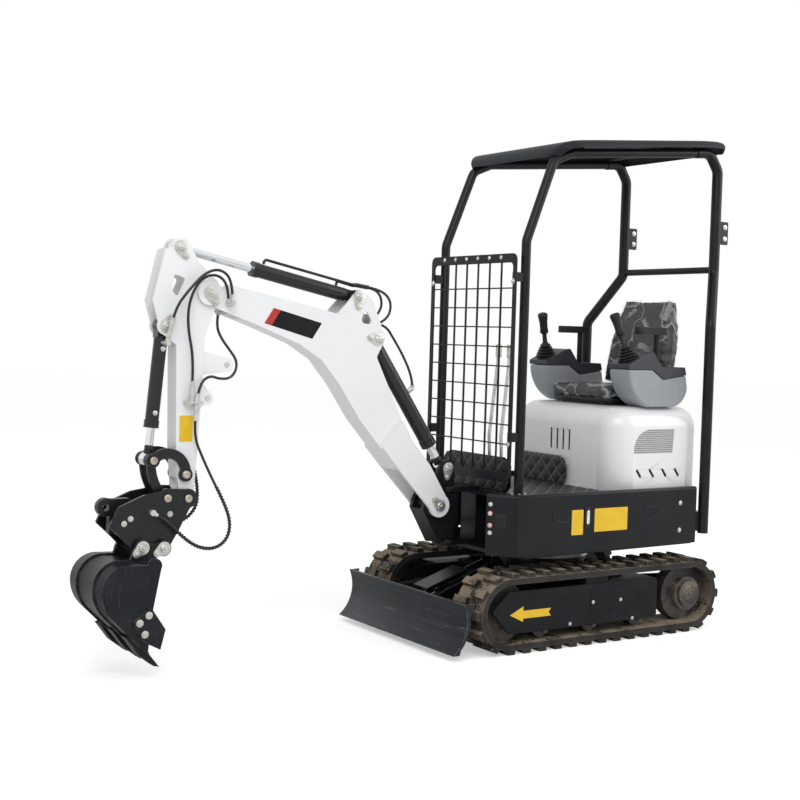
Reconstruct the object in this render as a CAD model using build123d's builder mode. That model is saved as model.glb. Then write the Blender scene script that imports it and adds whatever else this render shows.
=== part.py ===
"""A small tracked excavator with an open canopy, as separate solids in one frame.

Millimetres. The origin is on the ground under the slew axis: +X forward, +Y left, +Z up.
"""
import os
from math import atan2, cos, degrees, hypot, pi, radians, sin, sqrt, tan

from build123d import *

# Clearances
SEAT = 0.3  # between faces that sit against each other
RUN = 0.1  # round a pin that turns
PLAY = 5.0  # beside a part that moves

# Undercarriage
HALF_WIDTH = 465.0  # out to the tracks' and the blade's ends
TRACK_WIDTH = 200.0
WHEEL_X = 535.0
LUG = 20.0
BELT = 26.0
BELT_R = 155.0
WHEEL_Z = BELT_R + LUG
LUG_COUNT = 36
LUG_LENGTH = 38.0
TRACK_IN = HALF_WIDTH - TRACK_WIDTH
INNER_R = BELT_R - BELT
TRACK_MID = HALF_WIDTH - TRACK_WIDTH / 2
OUTER_PLATE = HALF_WIDTH - 17.0  # outer face of the side frame
PLATE = 12.0
INNER_PLATE = 2 * TRACK_MID - OUTER_PLATE + PLATE
ROLLER_R = 40.0
ROLLER_X = (-240.0, 40.0, 320.0)
FRAME_TOP = 285.0
PEDESTAL_R = 205.0
RING_Z = 345.0
RING_HEIGHT = 56.0

# Blade
BLADE_PIVOT = (318.0, 200.0)
BLADE_ARM = 36.0
BLADE_ARM_Y = (TRACK_IN - 27.0 - BLADE_ARM, TRACK_IN - 27.0)
BLADE_BARREL_PIN = (300.0, 318.0)
BLADE_ROD_PIN = (718.0, 178.0)
BLADE_PIN_R = 12.0
BLADE_TOP = (785.0, 240.0)
BLADE_HOLLOW = (770.0, 130.0)
BLADE_FOOT = (836.0, 28.0)
BLADE_SHEET = 16.0

# House
HOUSE_Z = RING_Z + RING_HEIGHT + 0.5
COVER_Z = 418.0
DECK_Z = 660.0
DECK = 10.0
COVER_Y = 446.0
COVER_TOP = 682.0
COVER_LIP = 26.0  # the rolled top edge's width
SHEET = 6.0
HOUSE_REAR = -640.0
REAR_CORNER = 80.0
TAIL_HALF = 302.0
LEFT_FRONT = ((503.0, COVER_Y), (600.0, COVER_Y - 97.0))  # where the left cover's front slants in
RIGHT_FRONT = ((340.0, COVER_Y), (400.0, COVER_Y - 60.0))
DECK_FRONT = 480.0
SWING_X = 560.0
BRACKET_X = (330.0, 440.0)
SWING_PIN_R = 25.0
LUG_R = 56.0
UPPER_LUG = (655.0, 680.0)
LOWER_LUG = (418.0, 442.0)
SWING_BARREL_PIN = (110.0, -215.0)
SWING_ROD_PIN = (580.0, -112.0)
SWING_CYL_Z = 505.0
SWING_BARREL_R = 14.0

# Hood, seat and controls
HOOD_X = (-655.0, -90.0)
HOOD_HALF = 390.0
HOOD_TOP = 1050.0
HOOD_CORNER = 120.0
HOOD_SHOULDER = 95.0
GRILLE_FRONT = ((-205.0, 872.0), (-238.0, 925.0), (-310.0, 948.0))
GRILLE_REAR = ((-455.0, 948.0), (-448.0, 838.0), (-205.0, 838.0))
SIDE_SLOT_Z = (726.0, 766.0)
SIDE_SLOT_PITCH = 80.0
CONSOLE_Y = (228.0, 364.0)

# Canopy
FRONT_POST = (394.0, 305.0)
FRONT_TUBE_R = 21.0
REAR_POST = (-617.0, 437.0)
REAR_TUBE_R = 25.0
REAR_FOOT_Z = 458.0
TUBE_WALL = 3.5
ROOF_HALF = 380.0
ROOF_SHEET = 8.0
ROOF_FRONT = (120.0, 2240.0)
ROOF_REAR = (-690.0, 2318.0)
CROSSBAR_R = 16.0
GUARD_X = 452.0
GUARD_HALF = 322.0
GUARD_Z = (722.0, 1722.0)

# Boom and arm pivots, in x and z
FOOT = (654.0, 602.0)
ELBOW = (1778.0, 1499.0)
BOOM_CYL_TOP = (989.0, 1333.0)
BOOM_CYL_EYE = (600.0, 765.0)
ARM_CYL_PIN = (1090.0, 1509.0)
ARM_CYL_EYE = (1901.0, 1673.0)
BUCKET_CYL_PIN = (1956.0, 1363.0)
LEVER_PIN = (1867.0, 779.0)
TIP = (1864.0, 687.0)
LINK_PIN = (1952.0, 691.0)
KNUCKLE = (2006.0, 838.0)
BUCKET_PINS = ((2060.0, 506.0), (1972.0, 499.0))
HITCH_EYE = (2178.0, 658.0)
THUMB_LUGS = ((1685.0, 1213.0), (1768.0, 1078.0))
THUMB_BORE = 13.0
EYE_BORE = 14.0
PIN_R = 16.0

# Widths either side of the boom's middle plane
BOOM_IN = 48.0
BOOM_OUT = 58.0
FORK_IN = 62.0
FORK_OUT = 78.0
POST_IN = 34.0
POST_OUT = 55.0
ARM_IN = 33.0
ARM_OUT = 43.0
LEVER_IN = 48.0
LEVER_OUT = 59.0
HITCH_IN = 65.0
HITCH_OUT = 78.0
EARS_IN = 84.0
EARS_OUT = 97.0
BUCKET_HALF = 175.0
BUCKET_WALL = 9.0
EYE_HALF = 24.0

# Hoses: the points that each one bends round, from end to end
HOSE_R = 5.5
FERRULE_R = 8.5
HOSES = {
    "hose_bucket_cylinder": (
        (1701, 96, 1495),
        (1705, 96, 1557),
        (1757, 98, 1594),
        (1819, 98, 1577),
        (1880, 92, 1512),
        (1932, 82, 1440),
        (1941, 76, 1396),
    ),
    "hose_arm_bulkhead": (
        (1708, 76, 1478),
        (1712, 76, 1534),
        (1756, 78, 1572),
        (1816, 80, 1562),
        (1858, 80, 1512),
        (1880, 76, 1440),
        (1876, 70, 1352),
        (1848, 64, 1240),
        (1850, 62, 1150),
    ),
    "hose_thumb": (
        (1708, -18, 1412),
        (1714, -17, 1366),
        (1692, -13, 1318),
        (1656, -8, 1272),
        (1628, 0, 1232),
        (1634, 8, 1188),
        (1668, 20, 1158),
        (1726, 40, 1158),
        (1770, 57, 1171),
        (1812, 62, 1148),
        (1824, 62, 1100),
    ),
    "hose_hitch_left": (
        (1834, 62, 992),
        (1838, 64, 930),
        (1806, 72, 850),
        (1764, 84, 758),
        (1718, 94, 668),
        (1690, 102, 590),
        (1702, 106, 522),
        (1756, 108, 484),
        (1830, 108, 492),
        (1900, 106, 540),
        (1960, 102, 606),
        (2000, 96, 628),
    ),
    "hose_hitch_right": (
        (1830, -62, 990),
        (1832, -64, 930),
        (1796, -66, 850),
        (1770, -68, 770),
        (1754, -76, 690),
        (1754, -86, 628),
        (1796, -92, 578),
        (1846, -95, 572),
        (1888, -94, 600),
    ),
    "hose_arm_cylinder_outer": (
        (1016, 14, 1553),
        (956, 15, 1545),
        (906, 16, 1508),
        (900, 14, 1456),
        (926, 12, 1414),
        (968, 9, 1396),
    ),
    "hose_arm_cylinder_inner": (
        (1006, -14, 1553),
        (958, -16, 1547),
        (928, -16, 1506),
        (934, -14, 1456),
        (968, -11, 1424),
    ),
    "hose_boom_cylinder": (
        (960, 26, 1396),
        (925, 24, 1386),
        (888, 20, 1340),
        (846, 18, 1284),
        (806, 16, 1220),
        (780, 12, 1166),
        (772, 6, 1136),
    ),
}


def xz(y):
    """Plane at one y, with x across and z up, facing right."""
    return Plane((0, y, 0), x_dir=(1, 0, 0), z_dir=(0, -1, 0))


def level(z):
    """Horizontal plane at one height."""
    return Plane.XY.offset(z)


def along(start, end):
    """Plane in x and z whose x runs from one pin to another."""
    run = (end[0] - start[0], 0, end[1] - start[1])
    return Plane((start[0], 0, start[1]), x_dir=run, z_dir=(0, -1, 0))


def across(start, end, distance):
    """Plane square to the line from one pin to another, some way along it."""
    length = hypot(end[0] - start[0], end[1] - start[1])
    run = ((end[0] - start[0]) / length, 0, (end[1] - start[1]) / length)
    spot = (start[0] + run[0] * distance, 0, start[1] + run[2] * distance)
    return Plane(spot, x_dir=(0, 1, 0), z_dir=run)


def outline(points, radius=0.0, rounds=(), holes=()):
    """Flat shape with rounded corners, joined to discs and pierced by holes."""
    with BuildSketch(Plane.XY) as flat:
        with BuildLine():
            if radius:
                FilletPolyline(*points, radius=radius, close=True)
            else:
                Polyline(*points, close=True)
        make_face()
        for spot, r in rounds:
            with Locations(spot):
                Circle(r)
        for spot, r in holes:
            with Locations(spot):
                Circle(r, mode=Mode.SUBTRACT)
    return flat.sketch


def slab(shape, y_from, y_to):
    """A flat x-z shape made solid from one y to another."""
    return extrude(xz(y_to) * shape, amount=y_to - y_from, mode=Mode.PRIVATE)


def bent_path(points, radius):
    """Straight runs through points in space, joined by round bends."""
    spots = [Vector(*p) for p in points]
    with BuildLine() as path:
        last = spots[0]
        for before, corner, after in zip(spots, spots[1:], spots[2:]):
            back = (before - corner).normalized()
            ahead = (after - corner).normalized()
            half = radians(back.get_angle(ahead)) / 2
            reach = radius / (sin(half) / cos(half))
            middle = (back + ahead).normalized()
            into = corner + back * reach
            out = corner + ahead * reach
            top = corner + middle * (radius / sin(half) - radius)
            Line(last, into)
            ThreePointArc(into, top, out)
            last = out
        Line(last, spots[-1])
    return path.line


def tube(points, bend, radius, wall=0.0):
    """A bent tube or bar along points in space."""
    path = bent_path(points, bend)
    with BuildPart() as pipe:
        with BuildSketch(Plane(path @ 0, z_dir=path % 0)):
            Circle(radius)
            if wall:
                Circle(radius - wall, mode=Mode.SUBTRACT)
        sweep(path=path)
    return pipe.part


def bar(start, end, radius):
    """A straight round bar between two points."""
    return tube((start, end), 0, radius)


def hose(name, points):
    """A hose along its points, each bend as wide as the shorter run beside it allows."""
    spots = [Vector(*p) for p in points]
    radii = []
    for before, corner, after in zip(spots, spots[1:], spots[2:]):
        turn = radians((corner - before).get_angle(after - corner))
        shorter = min((corner - before).length, (after - corner).length)
        radii.append(0.45 * shorter / tan(turn / 2))
    with BuildLine() as route:
        FilletPolyline(*points, radius=radii)
    path = route.wire()
    with BuildPart() as pipe:
        with BuildSketch(Plane(path @ 0, z_dir=path % 0)):
            Circle(HOSE_R)
        sweep(path=path)
    filled = pipe.part.volume / (pi * HOSE_R**2 * path.length)
    print(name, "length", round(path.length), "volume over section x length", round(filled, 3))
    print("  bend radii", [round(r) for r in radii])
    finish(pipe, name)


def roof_under(x):
    """Height of the roof's underside along its straight middle run."""
    slope = (ROOF_REAR[1] - ROOF_FRONT[1]) / (ROOF_REAR[0] - ROOF_FRONT[0])
    return ROOF_FRONT[1] + slope * (x - ROOF_FRONT[0]) - ROOF_SHEET


def finish(builder, name):
    """Name a part and write its file."""
    builder.part.label = name
    export_step(builder.part, f"parts/{name}.step")


def loop_spot(run):
    """Place and outward angle at a distance along the track's outer face."""
    straight = 2 * WHEEL_X
    bend = pi * BELT_R
    run = run % (2 * straight + 2 * bend)
    if run < straight:
        return (run - WHEEL_X, WHEEL_Z - BELT_R, -90.0)
    run -= straight
    if run < bend:
        turn = -90 + degrees(run / BELT_R)
        return (WHEEL_X + BELT_R * cos(radians(turn)), WHEEL_Z + BELT_R * sin(radians(turn)), turn)
    run -= bend
    if run < straight:
        return (WHEEL_X - run, WHEEL_Z + BELT_R, 90.0)
    run -= straight
    turn = 90 + degrees(run / BELT_R)
    return (-WHEEL_X + BELT_R * cos(radians(turn)), WHEEL_Z + BELT_R * sin(radians(turn)), turn)


def lug_row(shift):
    """One row of lugs round the loop, each sunk a little into the belt."""
    pitch = (4 * WHEEL_X + 2 * pi * BELT_R) / LUG_COUNT
    with BuildSketch(Plane.XY) as row:
        for number in range(LUG_COUNT):
            x, z, turn = loop_spot((number + shift) * pitch)
            with Locations(Location((x, z, 0), (0, 0, turn))):
                with Locations((LUG / 2 - 3, 0)):
                    Rectangle(LUG + 6, LUG_LENGTH)
        with Locations((0, WHEEL_Z)):
            SlotCenterToCenter(2 * WHEEL_X, 2 * (BELT_R + LUG), mode=Mode.INTERSECT)
    return row.sketch


def track(side):
    """One rubber track: a belt with two staggered rows of lugs."""
    middle = side * TRACK_MID
    with BuildPart() as loop:
        with BuildSketch(xz(middle + TRACK_WIDTH / 2)):
            with Locations((0, WHEEL_Z)):
                SlotCenterToCenter(2 * WHEEL_X, 2 * BELT_R)
                SlotCenterToCenter(2 * WHEEL_X, 2 * INNER_R, mode=Mode.SUBTRACT)
        extrude(amount=TRACK_WIDTH)
        add(slab(lug_row(0.25), middle + 6, middle + TRACK_WIDTH / 2 - 4))
        add(slab(lug_row(0.75), middle - TRACK_WIDTH / 2 + 4, middle - 6))
    return loop


def barrel(pin, toward, length, radius, bore, eye_r, pin_r, rod_r):
    """A cylinder barrel: an eye on its pin, a hollow tube and a gland at the far end."""
    cap = eye_r + 18
    with BuildPart() as body:
        with BuildSketch(along(pin, toward).offset(-EYE_HALF)):
            Circle(eye_r)
            with Locations((cap / 2, 0)):
                Rectangle(cap, 2 * eye_r * 0.8)
        extrude(amount=2 * EYE_HALF)
        with BuildSketch(across(pin, toward, cap - 4)):
            Circle(radius)
        extrude(amount=length - cap + 4)
        with BuildSketch(across(pin, toward, length - 30)):
            Circle(radius + 3)
        extrude(amount=30)
        with BuildSketch(across(pin, toward, cap)):
            Circle(bore)
        extrude(amount=length - cap - 24, mode=Mode.SUBTRACT)
        with BuildSketch(across(pin, toward, cap)):
            Circle(rod_r + RUN)
        extrude(amount=length, mode=Mode.SUBTRACT)
        with BuildSketch(along(pin, toward).offset(-EYE_HALF)):
            Circle(pin_r + RUN)
        extrude(amount=2 * EYE_HALF, mode=Mode.SUBTRACT)
    return body


def rod(pin, toward, length, radius, bore, eye_r):
    """A piston rod with its eye at a pin and its piston inside the barrel."""
    with BuildPart() as body:
        with BuildSketch(along(pin, toward).offset(-EYE_HALF)):
            Circle(eye_r)
        extrude(amount=2 * EYE_HALF)
        with BuildSketch(across(pin, toward, eye_r - 8)):
            Circle(radius)
        extrude(amount=length - eye_r + 8)
        with BuildSketch(across(pin, toward, length - 24)):
            Circle(bore - RUN)
        extrude(amount=24)
    return body


def pin_across(spot, half, radius):
    """A pin that runs from side to side."""
    with BuildPart() as pin:
        with BuildSketch(xz(half)):
            with Locations(spot):
                Circle(radius)
        extrude(amount=2 * half)
    return pin.part


def pin_ends(spot, inner, outer, radius):
    """A pin's two ends, left out between the plates where an eye can drift."""
    with BuildPart() as ends:
        with BuildSketch(xz(outer)):
            with Locations(spot):
                Circle(radius)
        extrude(amount=outer - inner)
        mirror(about=Plane.XZ)
    return ends.part


os.makedirs("parts", exist_ok=True)

# Tracks and what they run on
for side, name in ((1, "track_left"), (-1, "track_right")):
    finish(track(side), name)

with BuildPart() as sprockets:
    steps = (
        (TRACK_MID - 30, TRACK_MID + 30, INNER_R - SEAT),
        (INNER_PLATE + SEAT, OUTER_PLATE - 16, 78),
        (OUTER_PLATE - 18, OUTER_PLATE - 2, 52),
        (OUTER_PLATE - 4, OUTER_PLATE + 10, 24),
    )
    for start, end, r in steps:
        with BuildSketch(xz(end)):
            with Locations((-WHEEL_X, WHEEL_Z)):
                Circle(r)
        extrude(amount=end - start)
    mirror(about=Plane.XZ)
finish(sprockets, "sprockets")

with BuildPart() as rollers:
    spots = [(WHEEL_X, WHEEL_Z, INNER_R - SEAT, 28)]
    spots += [(x, WHEEL_Z - INNER_R + SEAT + ROLLER_R, ROLLER_R, 14) for x in ROLLER_X]
    for x, z, r, axle in spots:
        for half, size in ((32, r), (OUTER_PLATE - PLATE - SEAT - TRACK_MID, axle)):
            with BuildSketch(xz(TRACK_MID + half)):
                with Locations((x, z)):
                    Circle(size)
            extrude(amount=2 * half)
    mirror(about=Plane.XZ)
finish(rollers, "rollers")

side_shape = outline(((-325, 88), (530, 88), (627, 190), (540, 270), (-325, 270)), 18)
motor_mount = outline(((-540, 100), (-300, 110), (-300, 260), (-540, 250)), 10, [((-WHEEL_X, WHEEL_Z), 88)])
with BuildPart() as track_frame:
    add(slab(side_shape, OUTER_PLATE - PLATE, OUTER_PLATE))
    add(slab(side_shape, INNER_PLATE - PLATE, INNER_PLATE))
    add(slab(motor_mount, INNER_PLATE - PLATE, INNER_PLATE))
    with BuildSketch(xz(OUTER_PLATE - PLATE / 2)):
        with Locations((37, 204)):
            Rectangle(714, 128)
            Rectangle(690, 104, mode=Mode.SUBTRACT)
        with Locations((37, 267 + (WHEEL_Z + INNER_R - SEAT - 267) / 2)):
            Rectangle(130, WHEEL_Z + INNER_R - SEAT - 267)
    extrude(amount=OUTER_PLATE - INNER_PLATE)
    mirror(about=Plane.XZ)
    with BuildSketch(xz(INNER_PLATE - PLATE / 2)):
        with Locations((15, 218)):
            Rectangle(530, 134)
            Rectangle(500, 104, mode=Mode.SUBTRACT)
    extrude(amount=2 * INNER_PLATE - PLATE)
    with BuildSketch(level(FRAME_TOP - 8)):
        Circle(PEDESTAL_R)
        Circle(PEDESTAL_R - 30, mode=Mode.SUBTRACT)
    extrude(amount=RING_Z - FRAME_TOP + 8)
    arm_low, arm_high = BLADE_ARM_Y
    for inner, outer in ((arm_low - 20, arm_low - PLAY), (arm_high + PLAY, arm_high + 18)):
        ear = outline(((260, 165), (318, 170), (318, 230), (260, 270)), 4, [(BLADE_PIVOT, 30)])
        for way in (1, -1):
            add(slab(ear, min(way * inner, way * outer), max(way * inner, way * outer)))
    barrel_ear = ((225, 270), (300, 270), (330, 310), (300, 346), (285, 346))
    for way in (1, -1):
        with BuildSketch(xz(way * (arm_low + arm_high) / 2 + BLADE_ARM)):
            with Locations(BLADE_PIVOT):
                Circle(BLADE_PIN_R)
        extrude(amount=2 * BLADE_ARM)
        add(slab(outline(barrel_ear, 8, [(BLADE_BARREL_PIN, 28)]), way * 37 - 7, way * 37 + 7))
    add(pin_across(BLADE_BARREL_PIN, 44, BLADE_PIN_R))
finish(track_frame, "track_frame")

with BuildPart() as slew_bearing:
    with BuildSketch(level(RING_Z)):
        Circle(PEDESTAL_R + 10)
        Circle(PEDESTAL_R - 50, mode=Mode.SUBTRACT)
    extrude(amount=RING_HEIGHT)
finish(slew_bearing, "slew_bearing")

# Blade and its cylinder
def behind(spot, distance):
    """A point straight behind another on the blade."""
    return (spot[0] - distance, spot[1])


with BuildSketch(Plane.XY) as end_plate:
    with BuildLine():
        ThreePointArc(BLADE_TOP, BLADE_HOLLOW, BLADE_FOOT)
        Polyline(BLADE_FOOT, behind(BLADE_FOOT, 34), behind(BLADE_TOP, 52), BLADE_TOP)
    make_face()
with BuildPart() as blade:
    with BuildSketch(xz(HALF_WIDTH)):
        with BuildLine():
            ThreePointArc(BLADE_TOP, BLADE_HOLLOW, BLADE_FOOT)
            Line(BLADE_FOOT, behind(BLADE_FOOT, BLADE_SHEET))
            ThreePointArc(*[behind(spot, BLADE_SHEET) for spot in (BLADE_FOOT, BLADE_HOLLOW, BLADE_TOP)])
            Line(behind(BLADE_TOP, BLADE_SHEET), BLADE_TOP)
        make_face()
    extrude(amount=2 * HALF_WIDTH)
    for way in (1, -1):
        add(slab(end_plate.sketch, way * (HALF_WIDTH - 5) - 5, way * (HALF_WIDTH - 5) + 5))
        arm_shape = outline(
            ((320, 172), (560, 150), (765, 90), (765, 195), (560, 215), (320, 228)),
            6,
            [(BLADE_PIVOT, 30)],
            [(BLADE_PIVOT, BLADE_PIN_R + RUN)],
        )
        low, high = sorted((way * BLADE_ARM_Y[0], way * BLADE_ARM_Y[1]))
        add(slab(arm_shape, low, high))
        ear = outline(((765, 120), (710, 150), (715, 203), (765, 218)), 4, [(BLADE_ROD_PIN, 26)])
        add(slab(ear, way * 36 - 7, way * 36 + 7))
    add(pin_ends(BLADE_ROD_PIN, 30, 46, BLADE_PIN_R))
    with BuildSketch(Plane((0, 0, 118), x_dir=(1, 0, 0))):
        with Locations((715, 0)):
            Rectangle(90, 2 * BLADE_ARM_Y[0] + 20)
    extrude(amount=14)
finish(blade, "blade")

blade_barrel = barrel(BLADE_BARREL_PIN, BLADE_ROD_PIN, 330, 28, 22, 24, BLADE_PIN_R, 15)
finish(blade_barrel, "blade_cylinder_barrel")
blade_rod = rod(BLADE_ROD_PIN, BLADE_BARREL_PIN, 320, 15, 22, 23)
finish(blade_rod, "blade_cylinder_rod")

with BuildPart() as blade_guard:
    with BuildSketch(along(BLADE_ROD_PIN, BLADE_BARREL_PIN).offset(-55)):
        with BuildLine():
            Polyline((40, -36), (40, -44), (270, -44), (270, -36), close=True)
        make_face()
    extrude(amount=110)
    with BuildSketch(across(BLADE_ROD_PIN, BLADE_BARREL_PIN, 44)):
        with Locations((0, 0)):
            Rectangle(60, 76)
            Circle(15 + SEAT, mode=Mode.SUBTRACT)
    extrude(amount=10)
finish(blade_guard, "blade_cylinder_guard")

# House
with BuildPart() as house_frame:
    with BuildSketch(level(HOUSE_Z)):
        with BuildLine():
            Polyline(
                (-600, -380),
                (320, -400),
                (420, -300),
                (490, -120),
                (490, 300),
                (440, 420),
                (-600, 380),
                close=True,
            )
        make_face()
        Circle(PEDESTAL_R - 60, mode=Mode.SUBTRACT)
    extrude(amount=COVER_Z - SEAT - HOUSE_Z)
    with BuildSketch(level(DECK_Z - DECK)):
        inset = COVER_Y - SHEET - SEAT
        with BuildLine():
            Polyline(
                (HOUSE_REAR + 14, -COVER_Y + REAR_CORNER + 10),
                (HOUSE_REAR + REAR_CORNER + 10, -inset),
                (RIGHT_FRONT[0][0] - 8, -inset),
                (RIGHT_FRONT[1][0] - 16, 8 - RIGHT_FRONT[1][1]),
                (DECK_FRONT, -LEFT_FRONT[1][1]),
                (DECK_FRONT, inset),
                (HOUSE_REAR + REAR_CORNER + 10, inset),
                (HOUSE_REAR + 14, COVER_Y - REAR_CORNER - 10),
                close=True,
            )
        make_face()
        with Locations(((BRACKET_X[0] - SEAT + DECK_FRONT) / 2, 0)):
            Rectangle(DECK_FRONT - BRACKET_X[0] + SEAT, 2 * (LUG_R + SEAT), mode=Mode.SUBTRACT)
    extrude(amount=DECK)
    with BuildSketch(level(COVER_Z - 2)):
        with Locations((-120, 250), (-120, -320), (-520, 250), (-520, -250)):
            Rectangle(40, 40)
        with Locations(SWING_BARREL_PIN):
            Circle(SWING_BARREL_R)
    extrude(amount=DECK_Z - DECK - COVER_Z + 4)
finish(house_frame, "house_frame")

with BuildPart() as swing_bracket:
    with BuildSketch(level(COVER_Z)):
        with Locations(((BRACKET_X[0] + BRACKET_X[1]) / 2, 0)):
            Rectangle(BRACKET_X[1] - BRACKET_X[0], 2 * LUG_R)
            Rectangle(BRACKET_X[1] - BRACKET_X[0] - 30, 2 * LUG_R - 30, mode=Mode.SUBTRACT)
    extrude(amount=DECK_Z - COVER_Z)
    lug_root = BRACKET_X[1] - 15
    for low, high in (UPPER_LUG, LOWER_LUG):
        with BuildSketch(level(low)):
            with Locations((SWING_X, 0)):
                Circle(LUG_R)
            with Locations(((SWING_X + lug_root) / 2, 0)):
                Rectangle(SWING_X - lug_root, 2 * LUG_R)
        extrude(amount=high - low)
    with BuildSketch(level(LOWER_LUG[0] - 8)):
        with Locations((SWING_X, 0)):
            Circle(SWING_PIN_R)
    extrude(amount=UPPER_LUG[1] - LOWER_LUG[0] + 16)
finish(swing_bracket, "swing_bracket")


def cover_line(front):
    """Plan of a left-hand side cover from the tail to its slanted front."""
    tail = ((HOUSE_REAR, TAIL_HALF), (HOUSE_REAR, COVER_Y - REAR_CORNER))
    return tail + ((HOUSE_REAR + REAR_CORNER, COVER_Y),) + front


def cover_band(points, way, width):
    """A band along a plan line, laid to the line's inner side."""
    with BuildSketch(Plane.XY) as band:
        with BuildLine():
            Polyline(*[(x, way * y) for x, y in points])
            offset(amount=width, side=Side.RIGHT if way > 0 else Side.LEFT)
        make_face()
    return band.sketch


with BuildPart() as side_covers:
    for way, front in ((1, LEFT_FRONT), (-1, RIGHT_FRONT)):
        line = cover_line(front)
        for run, top in ((line, DECK_Z), (line[2:], COVER_TOP - COVER_LIP / 2)):
            with BuildSketch(level(COVER_Z)):
                add(cover_band(run, way, SHEET))
            extrude(amount=top - COVER_Z)
        with BuildSketch(level(DECK_Z + SEAT)):
            add(cover_band(line[2:], way, COVER_LIP))
        extrude(amount=COVER_TOP - DECK_Z - SEAT)
        tops = side_covers.edges().filter_by_position(Axis.Z, COVER_TOP - 0.1, COVER_TOP + 0.1)
        rolled = []
        for start, end in zip(line[2:], line[3:]):
            spot = ((start[0] + end[0]) / 2, way * (start[1] + end[1]) / 2, COVER_TOP)
            rolled.append(tops.sort_by_distance(spot)[0])
        fillet(rolled, COVER_LIP / 2 - 1)
    with BuildSketch(level(DECK_Z - DECK)):
        with BuildLine():
            Polyline(
                (DECK_FRONT + SEAT, COVER_Y - SHEET / 2),
                (LEFT_FRONT[0][0] - 1, COVER_Y - SHEET / 2),
                (LEFT_FRONT[1][0] - SHEET / 2, LEFT_FRONT[1][1]),
                (DECK_FRONT + SEAT, LEFT_FRONT[1][1]),
                close=True,
            )
        make_face()
    extrude(amount=DECK)
finish(side_covers, "side_covers")

with BuildPart() as counterweight:
    tail_in = TAIL_HALF - 2 * SEAT
    with BuildSketch(level(COVER_Z + 14)):
        with BuildLine():
            ThreePointArc((HOUSE_REAR, -tail_in), (HOUSE_REAR - 16, 0), (HOUSE_REAR, tail_in))
            Polyline(
                (HOUSE_REAR, tail_in),
                (HOUSE_REAR + 80, tail_in),
                (HOUSE_REAR + 80, -tail_in),
                (HOUSE_REAR, -tail_in),
            )
        make_face()
    extrude(amount=DECK_Z - DECK - COVER_Z - 16)
finish(counterweight, "counterweight")


def hood_block(inset):
    """The hood's outer form, or the same form drawn in by a wall."""
    low, high = HOOD_X[0] + inset, HOOD_X[1] - inset
    with BuildPart() as block:
        with BuildSketch(level(DECK_Z + SEAT)):
            with Locations(((low + high) / 2, 0)):
                RectangleRounded(high - low, 2 * (HOOD_HALF - inset), HOOD_CORNER - inset)
        extrude(amount=HOOD_TOP - inset - DECK_Z - SEAT)
        fillet(block.faces().sort_by(Axis.Z)[-1].edges(), HOOD_SHOULDER - inset)
    return block.part


with BuildSketch(Plane.XY) as grille_face:
    with BuildLine():
        ThreePointArc(*GRILLE_FRONT)
        Polyline(GRILLE_FRONT[-1], *GRILLE_REAR, GRILLE_FRONT[0])
    make_face()
grille_shape = grille_face.sketch
with BuildPart() as engine_hood:
    add(hood_block(0))
    add(hood_block(SHEET), mode=Mode.SUBTRACT)
    add(slab(grille_shape, -HOOD_HALF - 10, HOOD_HALF + 10), mode=Mode.SUBTRACT)
    for step in range(4):
        x = -216 - step * SIDE_SLOT_PITCH
        low, high = SIDE_SLOT_Z
        slot = outline(((x, high), (x - 16, high), (x - 46, low), (x - 30, low)), 5)
        add(slab(slot, -HOOD_HALF - 10, HOOD_HALF + 10), mode=Mode.SUBTRACT)
    with BuildSketch(Plane((HOOD_X[1] - 20, 0, 880), x_dir=(0, 1, 0), z_dir=(1, 0, 0))):
        with GridLocations(44, 0, 4, 1):
            SlotOverall(100, 14, rotation=90)
    extrude(amount=40, mode=Mode.SUBTRACT)
    with BuildSketch(Plane((HOOD_X[0] - 20, 0, 860), x_dir=(0, 1, 0), z_dir=(1, 0, 0))):
        with GridLocations(0, 40, 1, 3):
            SlotOverall(260, 16)
    extrude(amount=40, mode=Mode.SUBTRACT)
finish(engine_hood, "engine_hood")

with BuildPart() as hood_grilles:
    add(slab(offset(grille_shape, amount=-SEAT, mode=Mode.PRIVATE), HOOD_HALF - 4, HOOD_HALF - 1))
    mirror(about=Plane.XZ)
finish(hood_grilles, "hood_grilles")

with BuildPart() as engine:
    with BuildSketch(level(DECK_Z + SEAT)):
        with Locations((-380, 0)):
            RectangleRounded(400, 400, 30)
    extrude(amount=300)
finish(engine, "engine")

# Seat, floor mat and controls
back_rest = outline(((-560, 1065), (-600, 1065), (-668, 1420), (-650, 1425)), 6)
back_rest_room = offset(back_rest, amount=SEAT)
with BuildPart() as seat_base:
    with BuildSketch(level(HOOD_TOP + SEAT)):
        with Locations((-390, 0)):
            RectangleRounded(320, 360, 30)
    extrude(amount=20)
    with BuildSketch(level(HOOD_TOP + SEAT + 20)):
        with Locations((-388, 0)):
            RectangleRounded(400, 410, 50)
    extrude(amount=14)
    add(slab(back_rest, -120, 120))
finish(seat_base, "seat_base")

CUSHION_Z = HOOD_TOP + SEAT + 34 + SEAT
with BuildPart() as seat_cushion:
    with BuildSketch(level(CUSHION_Z)):
        with Locations((-366, 0)):
            RectangleRounded(392, 430, 60)
    extrude(amount=52)
    fillet(seat_cushion.faces().sort_by(Axis.Z)[-1].edges(), 20)
finish(seat_cushion, "seat_cushion")

with BuildPart() as seat_back:
    lean = Plane((-570, 0, CUSHION_Z + 58), x_dir=(0, 1, 0), z_dir=(-0.19, 0, 1))
    with BuildSketch(lean):
        RectangleRounded(430, 78, 30)
    with BuildSketch(lean.offset(300)):
        RectangleRounded(410, 84, 30)
    with BuildSketch(lean.offset(425)):
        RectangleRounded(330, 60, 25)
    loft()
    add(slab(back_rest_room, -120 - SEAT, 120 + SEAT), mode=Mode.SUBTRACT)
finish(seat_back, "seat_back")

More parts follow.
